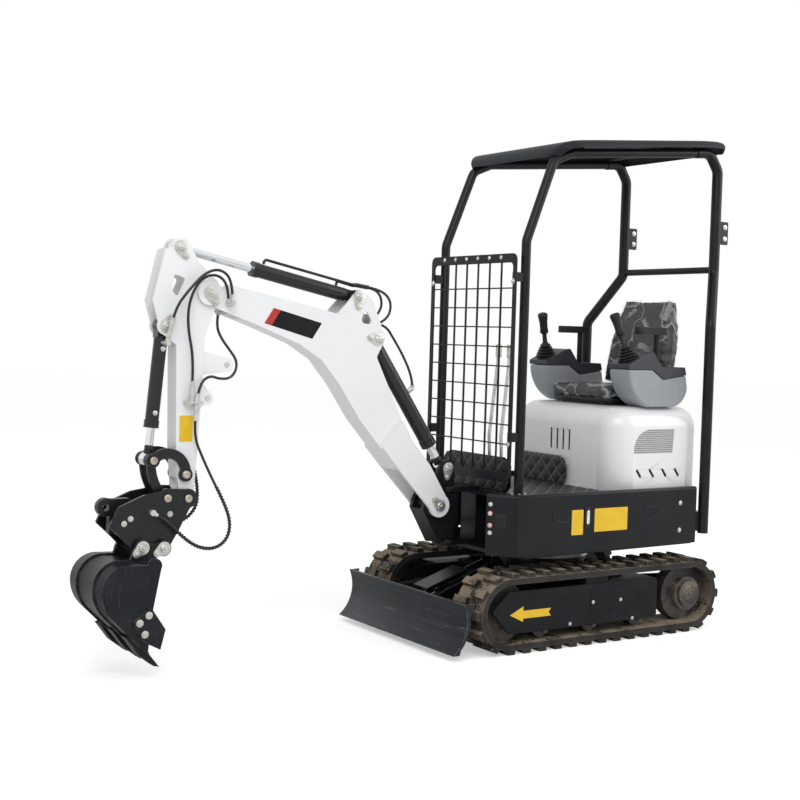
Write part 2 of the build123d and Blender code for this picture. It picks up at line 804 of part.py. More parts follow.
console_foot = HOOD_TOP + SEAT
with BuildSketch(Plane.XY) as console_side:
    with BuildLine():
        ThreePointArc((-181, 1225), (-217, 1118), (-310, console_foot))
        Line((-310, console_foot), (-460, console_foot))
        ThreePointArc((-460, console_foot), (-530, 1080), (-557, 1140))
        Polyline((-557, 1140), (-545, 1200), (-400, 1180), (-330, 1225), (-181, 1225))
    make_face()
console_low = console_side.sketch
console_high = outline(
    (
        (-181, 1226),
        (-330, 1226),
        (-400, 1181),
        (-545, 1201),
        (-535, 1238),
        (-385, 1238),
        (-330, 1308),
        (-290, 1300),
        (-181, 1248),
    ),
    6,
)
with BuildPart() as console_bases:
    add(slab(console_low, CONSOLE_Y[0], CONSOLE_Y[1]))
    mirror(about=Plane.XZ)
finish(console_bases, "console_bases")
with BuildPart() as console_tops:
    add(slab(console_high, CONSOLE_Y[0], CONSOLE_Y[1]))
    mirror(about=Plane.XZ)
finish(console_tops, "console_tops")

with BuildPart() as joysticks:
    with BuildSketch(Plane((-232, 298, 1277 + SEAT), z_dir=(0.30, -0.18, 1))):
        Circle(40)
    with BuildSketch(Plane((-213, 287, 1340), z_dir=(0.30, -0.18, 1))):
        Circle(20)
    loft()
    with BuildSketch(Plane((-216, 289, 1330), z_dir=(0.30, -0.18, 1))):
        Circle(11)
    extrude(amount=70)
    with BuildSketch(Plane((-197, 277, 1392), z_dir=(0.30, -0.18, 1))):
        Circle(20)
    with BuildSketch(Plane((-180, 267, 1450), z_dir=(0.30, -0.18, 1))):
        Circle(22)
    with BuildSketch(Plane((-168, 260, 1490), z_dir=(0.30, -0.18, 1))):
        Circle(26)
    loft()
    add(slab(console_high, CONSOLE_Y[0], CONSOLE_Y[1]), mode=Mode.SUBTRACT)
    mirror(about=Plane.XZ)
finish(joysticks, "joysticks")

with BuildPart() as armrests:
    with BuildSketch(level(1388)):
        with Locations((-392, 275)):
            RectangleRounded(190, 56, 24)
    extrude(amount=34)
    with BuildSketch(level(1238 + SEAT)):
        with Locations((-430, 275)):
            Circle(13)
    extrude(amount=160)
    mirror(about=Plane.XZ)
finish(armrests, "armrests")

with BuildPart() as floor_mat:
    with BuildSketch(level(DECK_Z + SEAT)):
        with Locations((165, 15)):
            RectangleRounded(500, 690, 60)
        for way in (1, -1):
            with Locations((FRONT_POST[0], way * FRONT_POST[1])):
                Circle(FRONT_TUBE_R + 26, mode=Mode.SUBTRACT)
        with Locations((285, 0)):
            Rectangle(70, 150, mode=Mode.SUBTRACT)
    extrude(amount=12)
    with BuildSketch(level(DECK_Z + SEAT)):
        with Locations((400, 0)):
            RectangleRounded(30, 500, 14)
    extrude(amount=160)
    with BuildSketch(level(DECK_Z + SEAT)):
        with Locations((-72, -115)):
            RectangleRounded(24, 380, 10)
    extrude(amount=140)
finish(floor_mat, "floor_mat")

with BuildPart() as travel_levers:
    with BuildSketch(level(DECK_Z + SEAT)):
        with Locations((285, 0)):
            Rectangle(60, 140)
    extrude(amount=30)
    for way in (1, -1):
        add(tube(((285, way * 45, 685), (300, way * 45, 900), (262, way * 42, 1270)), 200, 8))
        with BuildSketch(level(1262)):
            with Locations((262, way * 42)):
                Circle(14)
        extrude(amount=60)
        add(slab(outline(((282, 705), (302, 705), (356, 740), (350, 748)), 2), way * 60 - 30, way * 60 + 30))
finish(travel_levers, "travel_levers")

# Canopy
REAR_GAP = (REAR_POST[1] - REAR_POST[0] - COVER_Y + REAR_CORNER + HOUSE_REAR) / sqrt(2)
lamp_plate = outline(((-760, 1832), (-830, 1832), (-830, 1942), (-760, 1942)), 6)
with BuildPart() as canopy_frame:
    for way in (1, -1):
        front_post = (
            (FRONT_POST[0], way * FRONT_POST[1], DECK_Z + SEAT),
            (FRONT_POST[0], way * FRONT_POST[1], 1780),
            (250, way * 298, 2140),
            (150, way * 300, 2182),
            (-640, way * 315, 2257),
        )
        rear_post = (
            (-600, way * 314.3, 2253.5),
            (-690, way * 316, 2262),
            (-747, way * 318, 2180),
            (-747, way * 318, 1690),
            (REAR_POST[0], way * REAR_POST[1], 1445),
            (REAR_POST[0], way * REAR_POST[1], REAR_FOOT_Z),
        )
        add(tube(front_post, 60, FRONT_TUBE_R, TUBE_WALL))
        add(tube(rear_post, 60, REAR_TUBE_R, REAR_TUBE_R - FRONT_TUBE_R + 0.5))
        with BuildSketch(level(DECK_Z + SEAT)):
            with Locations((FRONT_POST[0], way * FRONT_POST[1])):
                Circle(FRONT_TUBE_R + 22)
                Circle(FRONT_TUBE_R - TUBE_WALL, mode=Mode.SUBTRACT)
        extrude(amount=10)
        foot = Plane((REAR_POST[0], way * REAR_POST[1], REAR_FOOT_Z + 12), x_dir=(1, way, 0))
        with BuildSketch(foot):
            with Locations((0, -way * (REAR_GAP - SEAT + REAR_TUBE_R - 3) / 2)):
                Rectangle(60, REAR_GAP - SEAT - REAR_TUBE_R + 3)
        extrude(amount=90)
        add(slab(lamp_plate, way * 318 - 4, way * 318 + 4))
    under_roof = CROSSBAR_R * 1.005 + SEAT
    crossbars = ((-747, 310, 1708),) + tuple(
        (x, half, roof_under(x) - under_roof) for x, half in ((-600, 305), (90, 295))
    )
    for x, half, z in crossbars:
        add(bar((x, -half, z), (x, half, z), CROSSBAR_R))
finish(canopy_frame, "canopy_frame")

with BuildPart() as canopy_roof:
    with BuildSketch(xz(ROOF_HALF)):
        with BuildLine():
            ThreePointArc((268, 2158), (215, 2218), ROOF_FRONT)
            Line(ROOF_FRONT, ROOF_REAR)
            ThreePointArc(ROOF_REAR, (-752, 2312), (-778, 2268))
            Line((-778, 2268), (-770, 2266))
            ThreePointArc((-770, 2266), (-747, 2304), (ROOF_REAR[0], ROOF_REAR[1] - ROOF_SHEET))
            Line((ROOF_REAR[0], ROOF_REAR[1] - ROOF_SHEET), (ROOF_FRONT[0], ROOF_FRONT[1] - ROOF_SHEET))
            ThreePointArc((ROOF_FRONT[0], ROOF_FRONT[1] - ROOF_SHEET), (210, 2211), (260, 2156))
            Line((260, 2156), (268, 2158))
        make_face()
    extrude(amount=2 * ROOF_HALF)
    edge = outline(
        (
            (255, 2180),
            (120, 2236),
            (-690, 2314),
            (-760, 2290),
            (-756, 2270),
            (-690, 2278),
            (120, 2200),
            (240, 2160),
        ),
        4,
    )
    for way in (1, -1):
        add(slab(edge, way * (ROOF_HALF - 4) - 4, way * (ROOF_HALF - 4) + 4))
finish(canopy_roof, "canopy_roof")

with BuildPart() as front_guard:
    with BuildSketch(Plane((GUARD_X, 0, 0), x_dir=(0, 1, 0), z_dir=(1, 0, 0))):
        middle = (GUARD_Z[0] + GUARD_Z[1]) / 2
        height = GUARD_Z[1] - GUARD_Z[0]
        with Locations((0, middle)):
            RectangleRounded(2 * GUARD_HALF, height, 30)
            RectangleRounded(2 * GUARD_HALF - 44, height - 80, 20, mode=Mode.SUBTRACT)
        with Locations((0, (1571 + 888) / 2)):
            with GridLocations(0, (1571 - 888) / 8, 1, 9):
                Rectangle(2 * GUARD_HALF - 40, 6)
            with GridLocations(86, 0, 6, 1):
                Rectangle(6, height - 76)
    extrude(amount=8)
    for way in (1, -1):
        for z in (900, 1600):
            with BuildSketch(level(z)):
                with BuildLine():
                    Polyline(
                        (FRONT_POST[0] + FRONT_TUBE_R + SEAT, way * (FRONT_POST[1] - 14)),
                        (GUARD_X + 3, way * (FRONT_POST[1] - 14)),
                        (GUARD_X + 3, way * (FRONT_POST[1] + 14)),
                        (FRONT_POST[0] + FRONT_TUBE_R + SEAT, way * (FRONT_POST[1] + 14)),
                        close=True,
                    )
                make_face()
            extrude(amount=40)
finish(front_guard, "front_guard")

# Swing post and its cylinder
post_shape = outline(
    (
        (624, 452),
        (624, 426),
        (636, 426),
        (728, 586),
        (716, 624),
        (640, 778),
        (562, 765),
        (562, 692),
        (624, 692),
        (624, 644),
        (SWING_X, 644),
        (SWING_X, 452),
    ),
    0,
    [(BOOM_CYL_EYE, 36), (FOOT, 50)],
)
post_front = outline(((640, 430), (726, 584), (712, 592), (627, 438)))
with BuildPart() as swing_post:
    for way in (1, -1):
        add(slab(post_shape, way * (POST_IN + POST_OUT) / 2 - 10.5, way * (POST_IN + POST_OUT) / 2 + 10.5))
    add(slab(post_front, -POST_IN - 1, POST_IN + 1))
    with BuildSketch(level(LOWER_LUG[1] + PLAY)):
        with Locations((SWING_X, 0)):
            Circle(POST_OUT)
        with Locations((SWING_X + 40, 0)):
            Rectangle(80, 2 * POST_OUT)
    extrude(amount=UPPER_LUG[0] - LOWER_LUG[1] - 2 * PLAY)
    with BuildSketch(xz(POST_OUT)):
        with Locations(FOOT):
            Circle(48)
    extrude(amount=2 * POST_OUT)
    for z in (SWING_CYL_Z - EYE_HALF - PLAY - 10, SWING_CYL_Z + EYE_HALF + PLAY):
        with BuildSketch(level(z)):
            with BuildLine():
                Polyline(
                    (SWING_X - 30, -40),
                    (SWING_X + 60, -40),
                    (SWING_ROD_PIN[0] + 26, SWING_ROD_PIN[1]),
                    (SWING_ROD_PIN[0] - 26, SWING_ROD_PIN[1]),
                    close=True,
                )
            make_face()
            with Locations(SWING_ROD_PIN):
                Circle(26)
        extrude(amount=10)
    with BuildSketch(level(LOWER_LUG[0])):
        with Locations((SWING_X, 0)):
            Circle(SWING_PIN_R + RUN)
    extrude(amount=UPPER_LUG[1] - LOWER_LUG[0] + 60, mode=Mode.SUBTRACT)
    add(pin_across(FOOT, FORK_OUT + 8, PIN_R))
    add(pin_ends(BOOM_CYL_EYE, POST_IN, POST_OUT + 6, PIN_R))
finish(swing_post, "swing_post")


def flat_cylinder(pin, toward, z):
    """Move a cylinder built on edge so that it lies level between two plan points."""
    turn = degrees(atan2(toward[1] - pin[1], toward[0] - pin[0]))
    return Location((pin[0], pin[1], z), (0, 0, turn)) * Location((0, 0, 0), (90, 0, 0))


SWING_LENGTH = hypot(SWING_ROD_PIN[0] - SWING_BARREL_PIN[0], SWING_ROD_PIN[1] - SWING_BARREL_PIN[1])
swing_barrel_up = barrel((0, 0), (SWING_LENGTH, 0), 355, 27, 20, 25, SWING_BARREL_R, 13)
with BuildPart() as swing_barrel:
    add(flat_cylinder(SWING_BARREL_PIN, SWING_ROD_PIN, SWING_CYL_Z) * swing_barrel_up.part)
finish(swing_barrel, "swing_cylinder_barrel")
swing_rod_up = rod((SWING_LENGTH, 0), (0, 0), 280, 13, 20, 24)
with BuildPart() as swing_rod:
    add(flat_cylinder(SWING_BARREL_PIN, SWING_ROD_PIN, SWING_CYL_Z) * swing_rod_up.part)
finish(swing_rod, "swing_cylinder_rod")

# Boom
boom_side = outline(
    (
        (760, 822),
        (811, 896),
        (993, 1256),
        (950, 1334),
        (1021, 1499),
        (1088, 1547),
        (1192, 1434),
        (1375, 1473),
        (1713, 1537),
        (1763, 1443),
        (1566, 1377),
        (1370, 1304),
        (1264, 1240),
        (1173, 1136),
        (1070, 987),
        (933, 833),
        (870, 765),
    ),
    16,
    [(ELBOW, 50)],
    [(ELBOW, PIN_R + RUN)],
)
boom_box = (
    (760, 822),
    (811, 896),
    (993, 1256),
    (1078, 1385),
    (1192, 1434),
    (1375, 1473),
    (1630, 1521),
    (1630, 1399),
    (1566, 1377),
    (1370, 1304),
    (1264, 1240),
    (1173, 1136),
    (1070, 987),
    (933, 833),
    (870, 765),
)
fork = outline(
    ((620, 640), (711, 783), (811, 896), (860, 985), (960, 865), (870, 765), (725, 612), (690, 570)),
    12,
    [(FOOT, 52)],
    [(FOOT, PIN_R + RUN)],
)
flare = outline(((760, 822), (811, 896), (860, 985), (960, 865), (870, 765)), 8)
window = outline(((1012, 1392), (1076, 1400), (1058, 1470)), 14)
with BuildPart() as boom:
    with BuildSketch(xz(BOOM_IN + 1)):
        with BuildLine():
            Polyline(*boom_box, close=True)
        make_face()
        offset(amount=-8, kind=Kind.INTERSECTION, mode=Mode.SUBTRACT)
    extrude(amount=2 * BOOM_IN + 2)
    for way in (1, -1):
        plate = way * (BOOM_IN + BOOM_OUT) / 2
        half = (BOOM_OUT - BOOM_IN) / 2
        add(slab(boom_side, plate - half, plate + half))
        add(slab(flare, way * (BOOM_OUT + FORK_OUT) / 2 - 11, way * (BOOM_OUT + FORK_OUT) / 2 + 11))
        add(slab(fork, way * (FORK_IN + FORK_OUT) / 2 - 8, way * (FORK_IN + FORK_OUT) / 2 + 8))
        add(slab(window, plate - half - 1, plate + half + 1), mode=Mode.SUBTRACT)
    add(pin_across(BOOM_CYL_TOP, BOOM_OUT + 4, PIN_R))
    add(pin_across(ARM_CYL_PIN, BOOM_OUT + 4, PIN_R))
finish(boom, "boom")

boom_barrel = barrel(BOOM_CYL_TOP, BOOM_CYL_EYE, 566, 33, 26, 32, PIN_R, 19)
finish(boom_barrel, "boom_cylinder_barrel")
boom_rod = rod(BOOM_CYL_EYE, BOOM_CYL_TOP, 440, 19, 26, 30)
finish(boom_rod, "boom_cylinder_rod")
arm_barrel = barrel(ARM_CYL_PIN, ARM_CYL_EYE, 492, 29, 23, 30, PIN_R, 17)
finish(arm_barrel, "arm_cylinder_barrel")
arm_rod = rod(ARM_CYL_EYE, ARM_CYL_PIN, 485, 17, 23, 28)
finish(arm_rod, "arm_cylinder_rod")

# Arm
arm_side = outline(
    (
        (1872, 1705),
        (1965, 1662),
        (2014, 1462),
        (1990, 1380),
        (1975, 1335),
        (1912, 1290),
        (1905, 869),
        (1892, 720),
        (1826, 700),
        (1814, 867),
        (1797, 1165),
        (1790, 1330),
        (1730, 1480),
        (1740, 1545),
        (1823, 1618),
    ),
    8,
    [(ARM_CYL_EYE, 36), (BUCKET_CYL_PIN, 36), (ELBOW, 56), (TIP, 36)],
    [(TIP, PIN_R + RUN), (LEVER_PIN, PIN_R + RUN)],
)
arm_window = outline(((1926, 1568), (1878, 1550), (1910, 1476), (1938, 1504)), 10)
arm_box = (
    (1790, 1400),
    (1912, 1400),
    (1912, 1290),
    (1905, 869),
    (1896, 765),
    (1822, 765),
    (1814, 867),
    (1797, 1165),
    (1790, 1330),
)
upper_lug = ((1792, 1268), (1690, 1242), (1676, 1186), (1798, 1172))
lower_lug = ((1800, 1152), (1748, 1092), (1748, 1060), (1806, 1040))
thumb_upper = outline(upper_lug, 5, [(THUMB_LUGS[0], 29)], [(THUMB_LUGS[0], THUMB_BORE)])
thumb_lower = outline(lower_lug, 5, [(THUMB_LUGS[1], 27)], [(THUMB_LUGS[1], THUMB_BORE)])
with BuildPart() as arm:
    with BuildSketch(xz(ARM_IN + 1)):
        with BuildLine():
            Polyline(*arm_box, close=True)
        make_face()
        offset(amount=-8, kind=Kind.INTERSECTION, mode=Mode.SUBTRACT)
    extrude(amount=2 * ARM_IN + 2)
    for way in (1, -1):
        plate = way * (ARM_IN + ARM_OUT) / 2
        half = (ARM_OUT - ARM_IN) / 2
        add(slab(arm_side, plate - half, plate + half))
        add(slab(arm_window, plate - half - 1, plate + half + 1), mode=Mode.SUBTRACT)
        add(slab(thumb_upper, way * 22 - 6, way * 22 + 6))
        add(slab(thumb_lower, way * 22 - 6, way * 22 + 6))
    with BuildSketch(xz(ARM_OUT)):
        with Locations(ELBOW):
            Circle(46)
        with Locations(TIP):
            Circle(34)
            Circle(PIN_R + RUN, mode=Mode.SUBTRACT)
        with Locations(LEVER_PIN):
            Circle(26)
    extrude(amount=2 * ARM_OUT)
    with BuildSketch(xz(ARM_OUT)):
        with Locations(LEVER_PIN):
            Circle(PIN_R - 2)
    extrude(amount=2 * ARM_OUT)
    add(pin_across(ELBOW, BOOM_OUT + 8, PIN_R))
    add(pin_ends(ARM_CYL_EYE, ARM_IN, ARM_OUT + 4, PIN_R))
    add(pin_across(BUCKET_CYL_PIN, ARM_OUT + 4, PIN_R))
    add(pin_across(LEVER_PIN, LEVER_OUT + 6, PIN_R))
finish(arm, "arm")

bucket_barrel = barrel(BUCKET_CYL_PIN, KNUCKLE, 402, 27, 22, 30, PIN_R, 16)
finish(bucket_barrel, "bucket_cylinder_barrel")
bucket_rod = rod(KNUCKLE, BUCKET_CYL_PIN, 370, 16, 22, 28)
finish(bucket_rod, "bucket_cylinder_rod")

# Bucket linkage, hitch and bucket
with BuildSketch(Plane.XY) as lever_shape:
    with BuildLine():
        ThreePointArc(LEVER_PIN, (1915, 858), KNUCKLE)
        offset(amount=20)
    make_face()
    with Locations(LEVER_PIN, KNUCKLE):
        Circle(28)
    with Locations(LEVER_PIN):
        Circle(PIN_R + RUN, mode=Mode.SUBTRACT)
with BuildPart() as tipping_levers:
    for way in (1, -1):
        plate = way * (LEVER_IN + LEVER_OUT) / 2
        add(slab(lever_shape.sketch, plate - 6, plate + 6))
    add(pin_ends(KNUCKLE, LEVER_IN, LEVER_OUT + 6, PIN_R))
finish(tipping_levers, "tipping_levers")

with BuildSketch(Plane.XY) as link_shape:
    with BuildLine():
        ThreePointArc(LINK_PIN, (1994, 759), KNUCKLE)
        offset(amount=18)
    make_face()
    with Locations(LINK_PIN, KNUCKLE):
        Circle(27)
    with Locations(LINK_PIN):
        Circle(PIN_R + RUN, mode=Mode.SUBTRACT)
with BuildPart() as bucket_link:
    for way in (1, -1):
        add(slab(link_shape.sketch, way * 36 - 6, way * 36 + 6))
    with BuildSketch(xz(40)):
        with Locations(LINK_PIN):
            Circle(27)
            Circle(PIN_R + RUN, mode=Mode.SUBTRACT)
    extrude(amount=80)
finish(bucket_link, "bucket_link")

hitch_shape = outline(
    (
        (1864, 724),
        (1952, 728),
        (1990, 716),
        (2046, 708),
        (2152, 665),
        (2188, 590),
        (2136, 542),
        (2095, 500),
        (2060, 476),
        (1972, 470),
        (1940, 500),
        (1902, 563),
        (1861, 640),
        (1840, 670),
    ),
    10,
    [(TIP, 38), (LINK_PIN, 38)],
)
hitch_eye = outline(
    ((2080, 690), (2165, 690), (2165, 560), (2080, 540)),
    6,
    [(HITCH_EYE, 36)],
    [(HITCH_EYE, EYE_BORE)],
)
with BuildPart() as quick_hitch:
    for way in (1, -1):
        plate = way * (HITCH_IN + HITCH_OUT) / 2
        half = (HITCH_OUT - HITCH_IN) / 2
        add(slab(hitch_shape, plate - half, plate + half))
    add(slab(hitch_eye, -16, 16))
    with BuildSketch(xz(HITCH_OUT + 2)):
        with Locations(HITCH_EYE):
            Circle(EYE_BORE + 6)
    extrude(amount=HITCH_OUT - 14, mode=Mode.SUBTRACT)
    with BuildSketch(xz(-16)):
        with Locations(HITCH_EYE):
            Circle(EYE_BORE + 6)
    extrude(amount=HITCH_OUT - 14, mode=Mode.SUBTRACT)
    with BuildSketch(xz(HITCH_IN + 2)):
        with Locations((2095, 600)):
            Rectangle(60, 110)
        with Locations((1995, 530)):
            Rectangle(110, 50)
    extrude(amount=2 * HITCH_IN + 4)
    add(pin_across(TIP, HITCH_OUT + 6, PIN_R))
    add(pin_across(LINK_PIN, HITCH_OUT + 6, PIN_R))
    for spot in BUCKET_PINS:
        with BuildSketch(xz(HITCH_OUT + 2)):
            with Locations(spot):
                Circle(PIN_R + SEAT)
        extrude(amount=2 * HITCH_OUT + 4, mode=Mode.SUBTRACT)
finish(quick_hitch, "quick_hitch")

with BuildLine() as bucket_back:
    Line((2015, 450), (2150, 456))
    ThreePointArc((2150, 456), (2221, 427), (2250, 356))
    TangentArc((2250, 356), (2206, 250), tangent=(0, -1))
    Line((2206, 250), (2062, 106))
with BuildSketch(Plane.XY) as bucket_side:
    with BuildLine():
        add(bucket_back.line)
        Polyline((2062, 106), (2052, 235), (2043, 282), (2012, 440), (2015, 450))
    make_face()
    with Locations((2040, 446)):
        Circle(30)
cutter_shape = outline(
    (
        (2124, 241),
        (2067, 284),
        (2051, 283),
        (1995, 200),
        (2015, 123),
        (2074, 153),
        (2085, 163),
        (2123, 217),
    )
)
tooth = outline(((2011, 53), (2067, 124), (2118, 184), (2150, 178), (2095, 104), (2033, 57)))
bucket_ear = outline(((1948, 520), (2085, 520), (2110, 455), (2020, 440)), 8, [(spot, 32) for spot in BUCKET_PINS])
with BuildPart() as bucket:
    with BuildSketch(xz(BUCKET_HALF)):
        with BuildLine():
            add(bucket_back.line)
            offset(amount=BUCKET_WALL, side=Side.RIGHT)
        make_face()
    extrude(amount=2 * BUCKET_HALF)
    for way in (1, -1):
        ears_mid = way * (EARS_IN + EARS_OUT) / 2
        with BuildSketch(xz(ears_mid + 7)):
            with BuildLine():
                add(bucket_back.line)
                offset(amount=8, side=Side.LEFT)
            make_face()
        extrude(amount=14)
        add(slab(bucket_ear, ears_mid - 7, ears_mid + 7))
        add(slab(bucket_side.sketch, way * (BUCKET_HALF - 5) - 5, way * (BUCKET_HALF - 5) + 5))
        add(slab(cutter_shape, way * (BUCKET_HALF + 4) - 6, way * (BUCKET_HALF + 4) + 6))
    for middle in (-140, 0, 140):
        add(slab(tooth, middle - 26, middle + 26))
    for spot in BUCKET_PINS:
        add(pin_across(spot, EARS_OUT + 6, PIN_R))
finish(bucket, "bucket")


# Fittings that the hoses meet
def ferrule(name, last, length):
    """A sleeve in line with one end of a hose, just clear of its end face."""
    end, inner = HOSES[name][::-1][:2] if last else HOSES[name][:2]
    out = (Vector(*end) - Vector(*inner)).normalized()
    start = Vector(*end) + out * SEAT
    return bar(tuple(start), tuple(start + out * length), FERRULE_R)


with BuildPart() as boom_fittings:
    add(bar((1700, BOOM_OUT + SEAT, 1458), (1700, 106, 1458), 12))
    add(ferrule("hose_bucket_cylinder", False, 36))
    add(ferrule("hose_arm_bulkhead", False, 24))
    add(bar((1700, -BOOM_IN + SEAT, 1424), (1700, BOOM_IN - SEAT, 1424), 8))
    add(ferrule("hose_thumb", False, 16))
    with BuildSketch(level(1374)):
        with Locations((989, 0)):
            Rectangle(8, 2 * (BOOM_IN - SEAT))
    extrude(amount=66)
    add(ferrule("hose_arm_cylinder_outer", True, 20))
    add(ferrule("hose_arm_cylinder_inner", True, 26))
    add(ferrule("hose_boom_cylinder", False, 28))
finish(boom_fittings, "boom_fittings")

with BuildPart() as arm_fittings:
    with BuildSketch(level(1060)):
        with Locations((1843.5, (ARM_OUT + SEAT + 78) / 2)):
            Rectangle(75, 78 - ARM_OUT - SEAT)
        mirror(about=Plane.XZ)
    extrude(amount=10)
    add(ferrule("hose_arm_bulkhead", True, 84))
    add(ferrule("hose_thumb", True, 34))
    add(ferrule("hose_hitch_left", False, 72))
    add(ferrule("hose_hitch_right", False, 74))
finish(arm_fittings, "arm_fittings")

with BuildPart() as hitch_fittings:
    add(bar((2020, HITCH_OUT + SEAT, 640), (2020, 104, 640), 12))
    add(ferrule("hose_hitch_left", True, 24))
    add(bar((1904, -104, 611), (1904, -HITCH_OUT - SEAT, 611), 12))
    add(ferrule("hose_hitch_right", True, 20))
finish(hitch_fittings, "hitch_fittings")

with BuildPart() as bucket_cylinder_fitting:
    add(bar((1962, 27 + SEAT, 1297), (1962, 84, 1297), 10))
    add(ferrule("hose_bucket_cylinder", True, 100))
finish(bucket_cylinder_fitting, "bucket_cylinder_fitting")


def on_barrel(pin, toward, run, side, rise):
    """A point beside a cylinder: along its axis, off to the left and up from it."""
    length = hypot(toward[0] - pin[0], toward[1] - pin[1])
    ux, uz = (toward[0] - pin[0]) / length, (toward[1] - pin[1]) / length
    return (pin[0] + ux * run - uz * rise, side, pin[1] + uz * run + ux * rise)


with BuildPart() as arm_cylinder_pipes:
    for run, way in ((445, 1), (85, -1)):
        stops = ((run, way * 6, 30), (run, way * 8, 50), (-6, way * 14, 50))
        spots = [on_barrel(ARM_CYL_PIN, ARM_CYL_EYE, *stop) for stop in stops]
        add(tube(spots, 12, 6))
    add(ferrule("hose_arm_cylinder_outer", False, 66))
    add(ferrule("hose_arm_cylinder_inner", False, 74))
finish(arm_cylinder_pipes, "arm_cylinder_pipes")

with BuildPart() as boom_cylinder_fitting:
    foot, top = [on_barrel(BOOM_CYL_TOP, BOOM_CYL_EYE, 300, 0, -rise) for rise in (33.3, 62)]
    add(bar(foot, top, 11))
    add(ferrule("hose_boom_cylinder", True, 14))
finish(boom_cylinder_fitting, "boom_cylinder_fitting")

# Hoses
for name, points in HOSES.items():
    hose(name, points)
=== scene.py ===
# %% [markdown]
# # A mini excavator, dressed for its portrait
# The solids come in as a fixed frame: every plate, tube and cylinder already has its place and its
# joint. Here they get paint, dust and wear, and the soft and small things that solids leave out.
# Everything made here but the hoses and their spiral guards rides on one of the frame's bodies, so it moves
# when the machine digs.

# %% Load the frame
from math import acos, cos, pi, radians, sin, sqrt

import bmesh
import bpy
from mathutils import Matrix, Vector, noise


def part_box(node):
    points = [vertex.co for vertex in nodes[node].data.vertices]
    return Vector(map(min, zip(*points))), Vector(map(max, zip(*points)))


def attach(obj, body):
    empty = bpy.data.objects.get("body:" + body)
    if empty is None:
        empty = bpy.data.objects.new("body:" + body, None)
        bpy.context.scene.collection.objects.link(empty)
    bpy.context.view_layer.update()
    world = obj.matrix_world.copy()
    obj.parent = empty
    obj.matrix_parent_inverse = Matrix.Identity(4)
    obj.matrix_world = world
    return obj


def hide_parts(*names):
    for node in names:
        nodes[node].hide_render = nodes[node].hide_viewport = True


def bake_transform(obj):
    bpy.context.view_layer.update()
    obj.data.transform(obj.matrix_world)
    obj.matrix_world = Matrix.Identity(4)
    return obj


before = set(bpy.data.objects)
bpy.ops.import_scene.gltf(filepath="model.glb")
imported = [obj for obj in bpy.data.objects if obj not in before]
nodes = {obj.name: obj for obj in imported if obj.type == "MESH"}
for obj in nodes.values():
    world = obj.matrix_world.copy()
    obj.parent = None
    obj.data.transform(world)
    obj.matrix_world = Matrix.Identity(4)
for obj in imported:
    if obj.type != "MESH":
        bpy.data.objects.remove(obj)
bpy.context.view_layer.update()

# %% [markdown]
# ## The camera
# The view was worked out from the photograph's own lines: where it stands, where it looks and its lens.
# The little roll is the tilt of a hand-held camera.

# %% Camera
AZIMUTH, PITCH, ROLL = radians(146.773), radians(2.815), radians(1.632)
back = Vector((sin(AZIMUTH) * cos(PITCH), -cos(AZIMUTH) * cos(PITCH), sin(PITCH)))
level_right = (-back).cross(Vector((0, 0, 1))).normalized()
level_up = level_right.cross(-back)
right = level_right * cos(ROLL) + level_up * sin(ROLL)
up = level_up * cos(ROLL) - level_right * sin(ROLL)
camera_data = bpy.data.cameras.new("camera")
camera_data.lens = 60.37
camera_data.sensor_width = 36
camera_data.clip_end = 60
camera = bpy.data.objects.new("camera", camera_data)
bpy.context.collection.objects.link(camera)
turn = Matrix((right, up, back)).transposed().to_4x4()
camera.matrix_world = Matrix.Translation((4.057351, 4.927433, 1.357438)) @ turn
bpy.context.scene.camera = camera
print("camera at", [round(c, 3) for c in camera.matrix_world.translation])

# %% [markdown]
# ## Meshes from code
# Small parts are built with bmesh, Blender's mesh kit for scripts. Three builders cover nearly all of
# them: a lathe for anything turned, a plate for anything cut from sheet, and a tube for anything bent.

# %% Builders
def mm(x, y, z):
    """A point given in millimetres, in metres."""
    return Vector((x, y, z)) / 1000


def axes_for(axis):
    """Two directions square to an axis and to each other."""
    side = axis.orthogonal().normalized()
    return side, axis.cross(side)


def add_lathe(bm, profile, centre, axis, sides=24):
    """Turn a profile of (radius, height) pairs, in millimetres, about an axis."""
    axis = Vector(axis).normalized()
    side, other = axes_for(axis)
    rings = []
    for radius, height in profile:
        ring = []
        for step in range(sides):
            angle = 2 * pi * step / sides
            out = (side * cos(angle) + other * sin(angle)) * radius
            ring.append(bm.verts.new(centre + (out + axis * height) / 1000))
        rings.append(ring)
    for low, high in zip(rings, rings[1:]):
        for step in range(sides):
            after = (step + 1) % sides
            bm.faces.new((low[step], low[after], high[after], high[step]))
    bm.faces.new(list(reversed(rings[0])))
    bm.faces.new(rings[-1])


def add_plate(bm, outline, origin, across, along, depth):
    """A flat plate: an outline in two directions from an origin, made thick along their cross product."""
    out = across.cross(along).normalized() * depth
    low = [bm.verts.new(origin + across * u + along * v) for u, v in outline]
    high = [bm.verts.new(vert.co + out) for vert in low]
    bm.faces.new(list(reversed(low)))
    bm.faces.new(high)
    for step in range(len(low)):
        after = (step + 1) % len(low)
        bm.faces.new((low[step], low[after], high[after], high[step]))


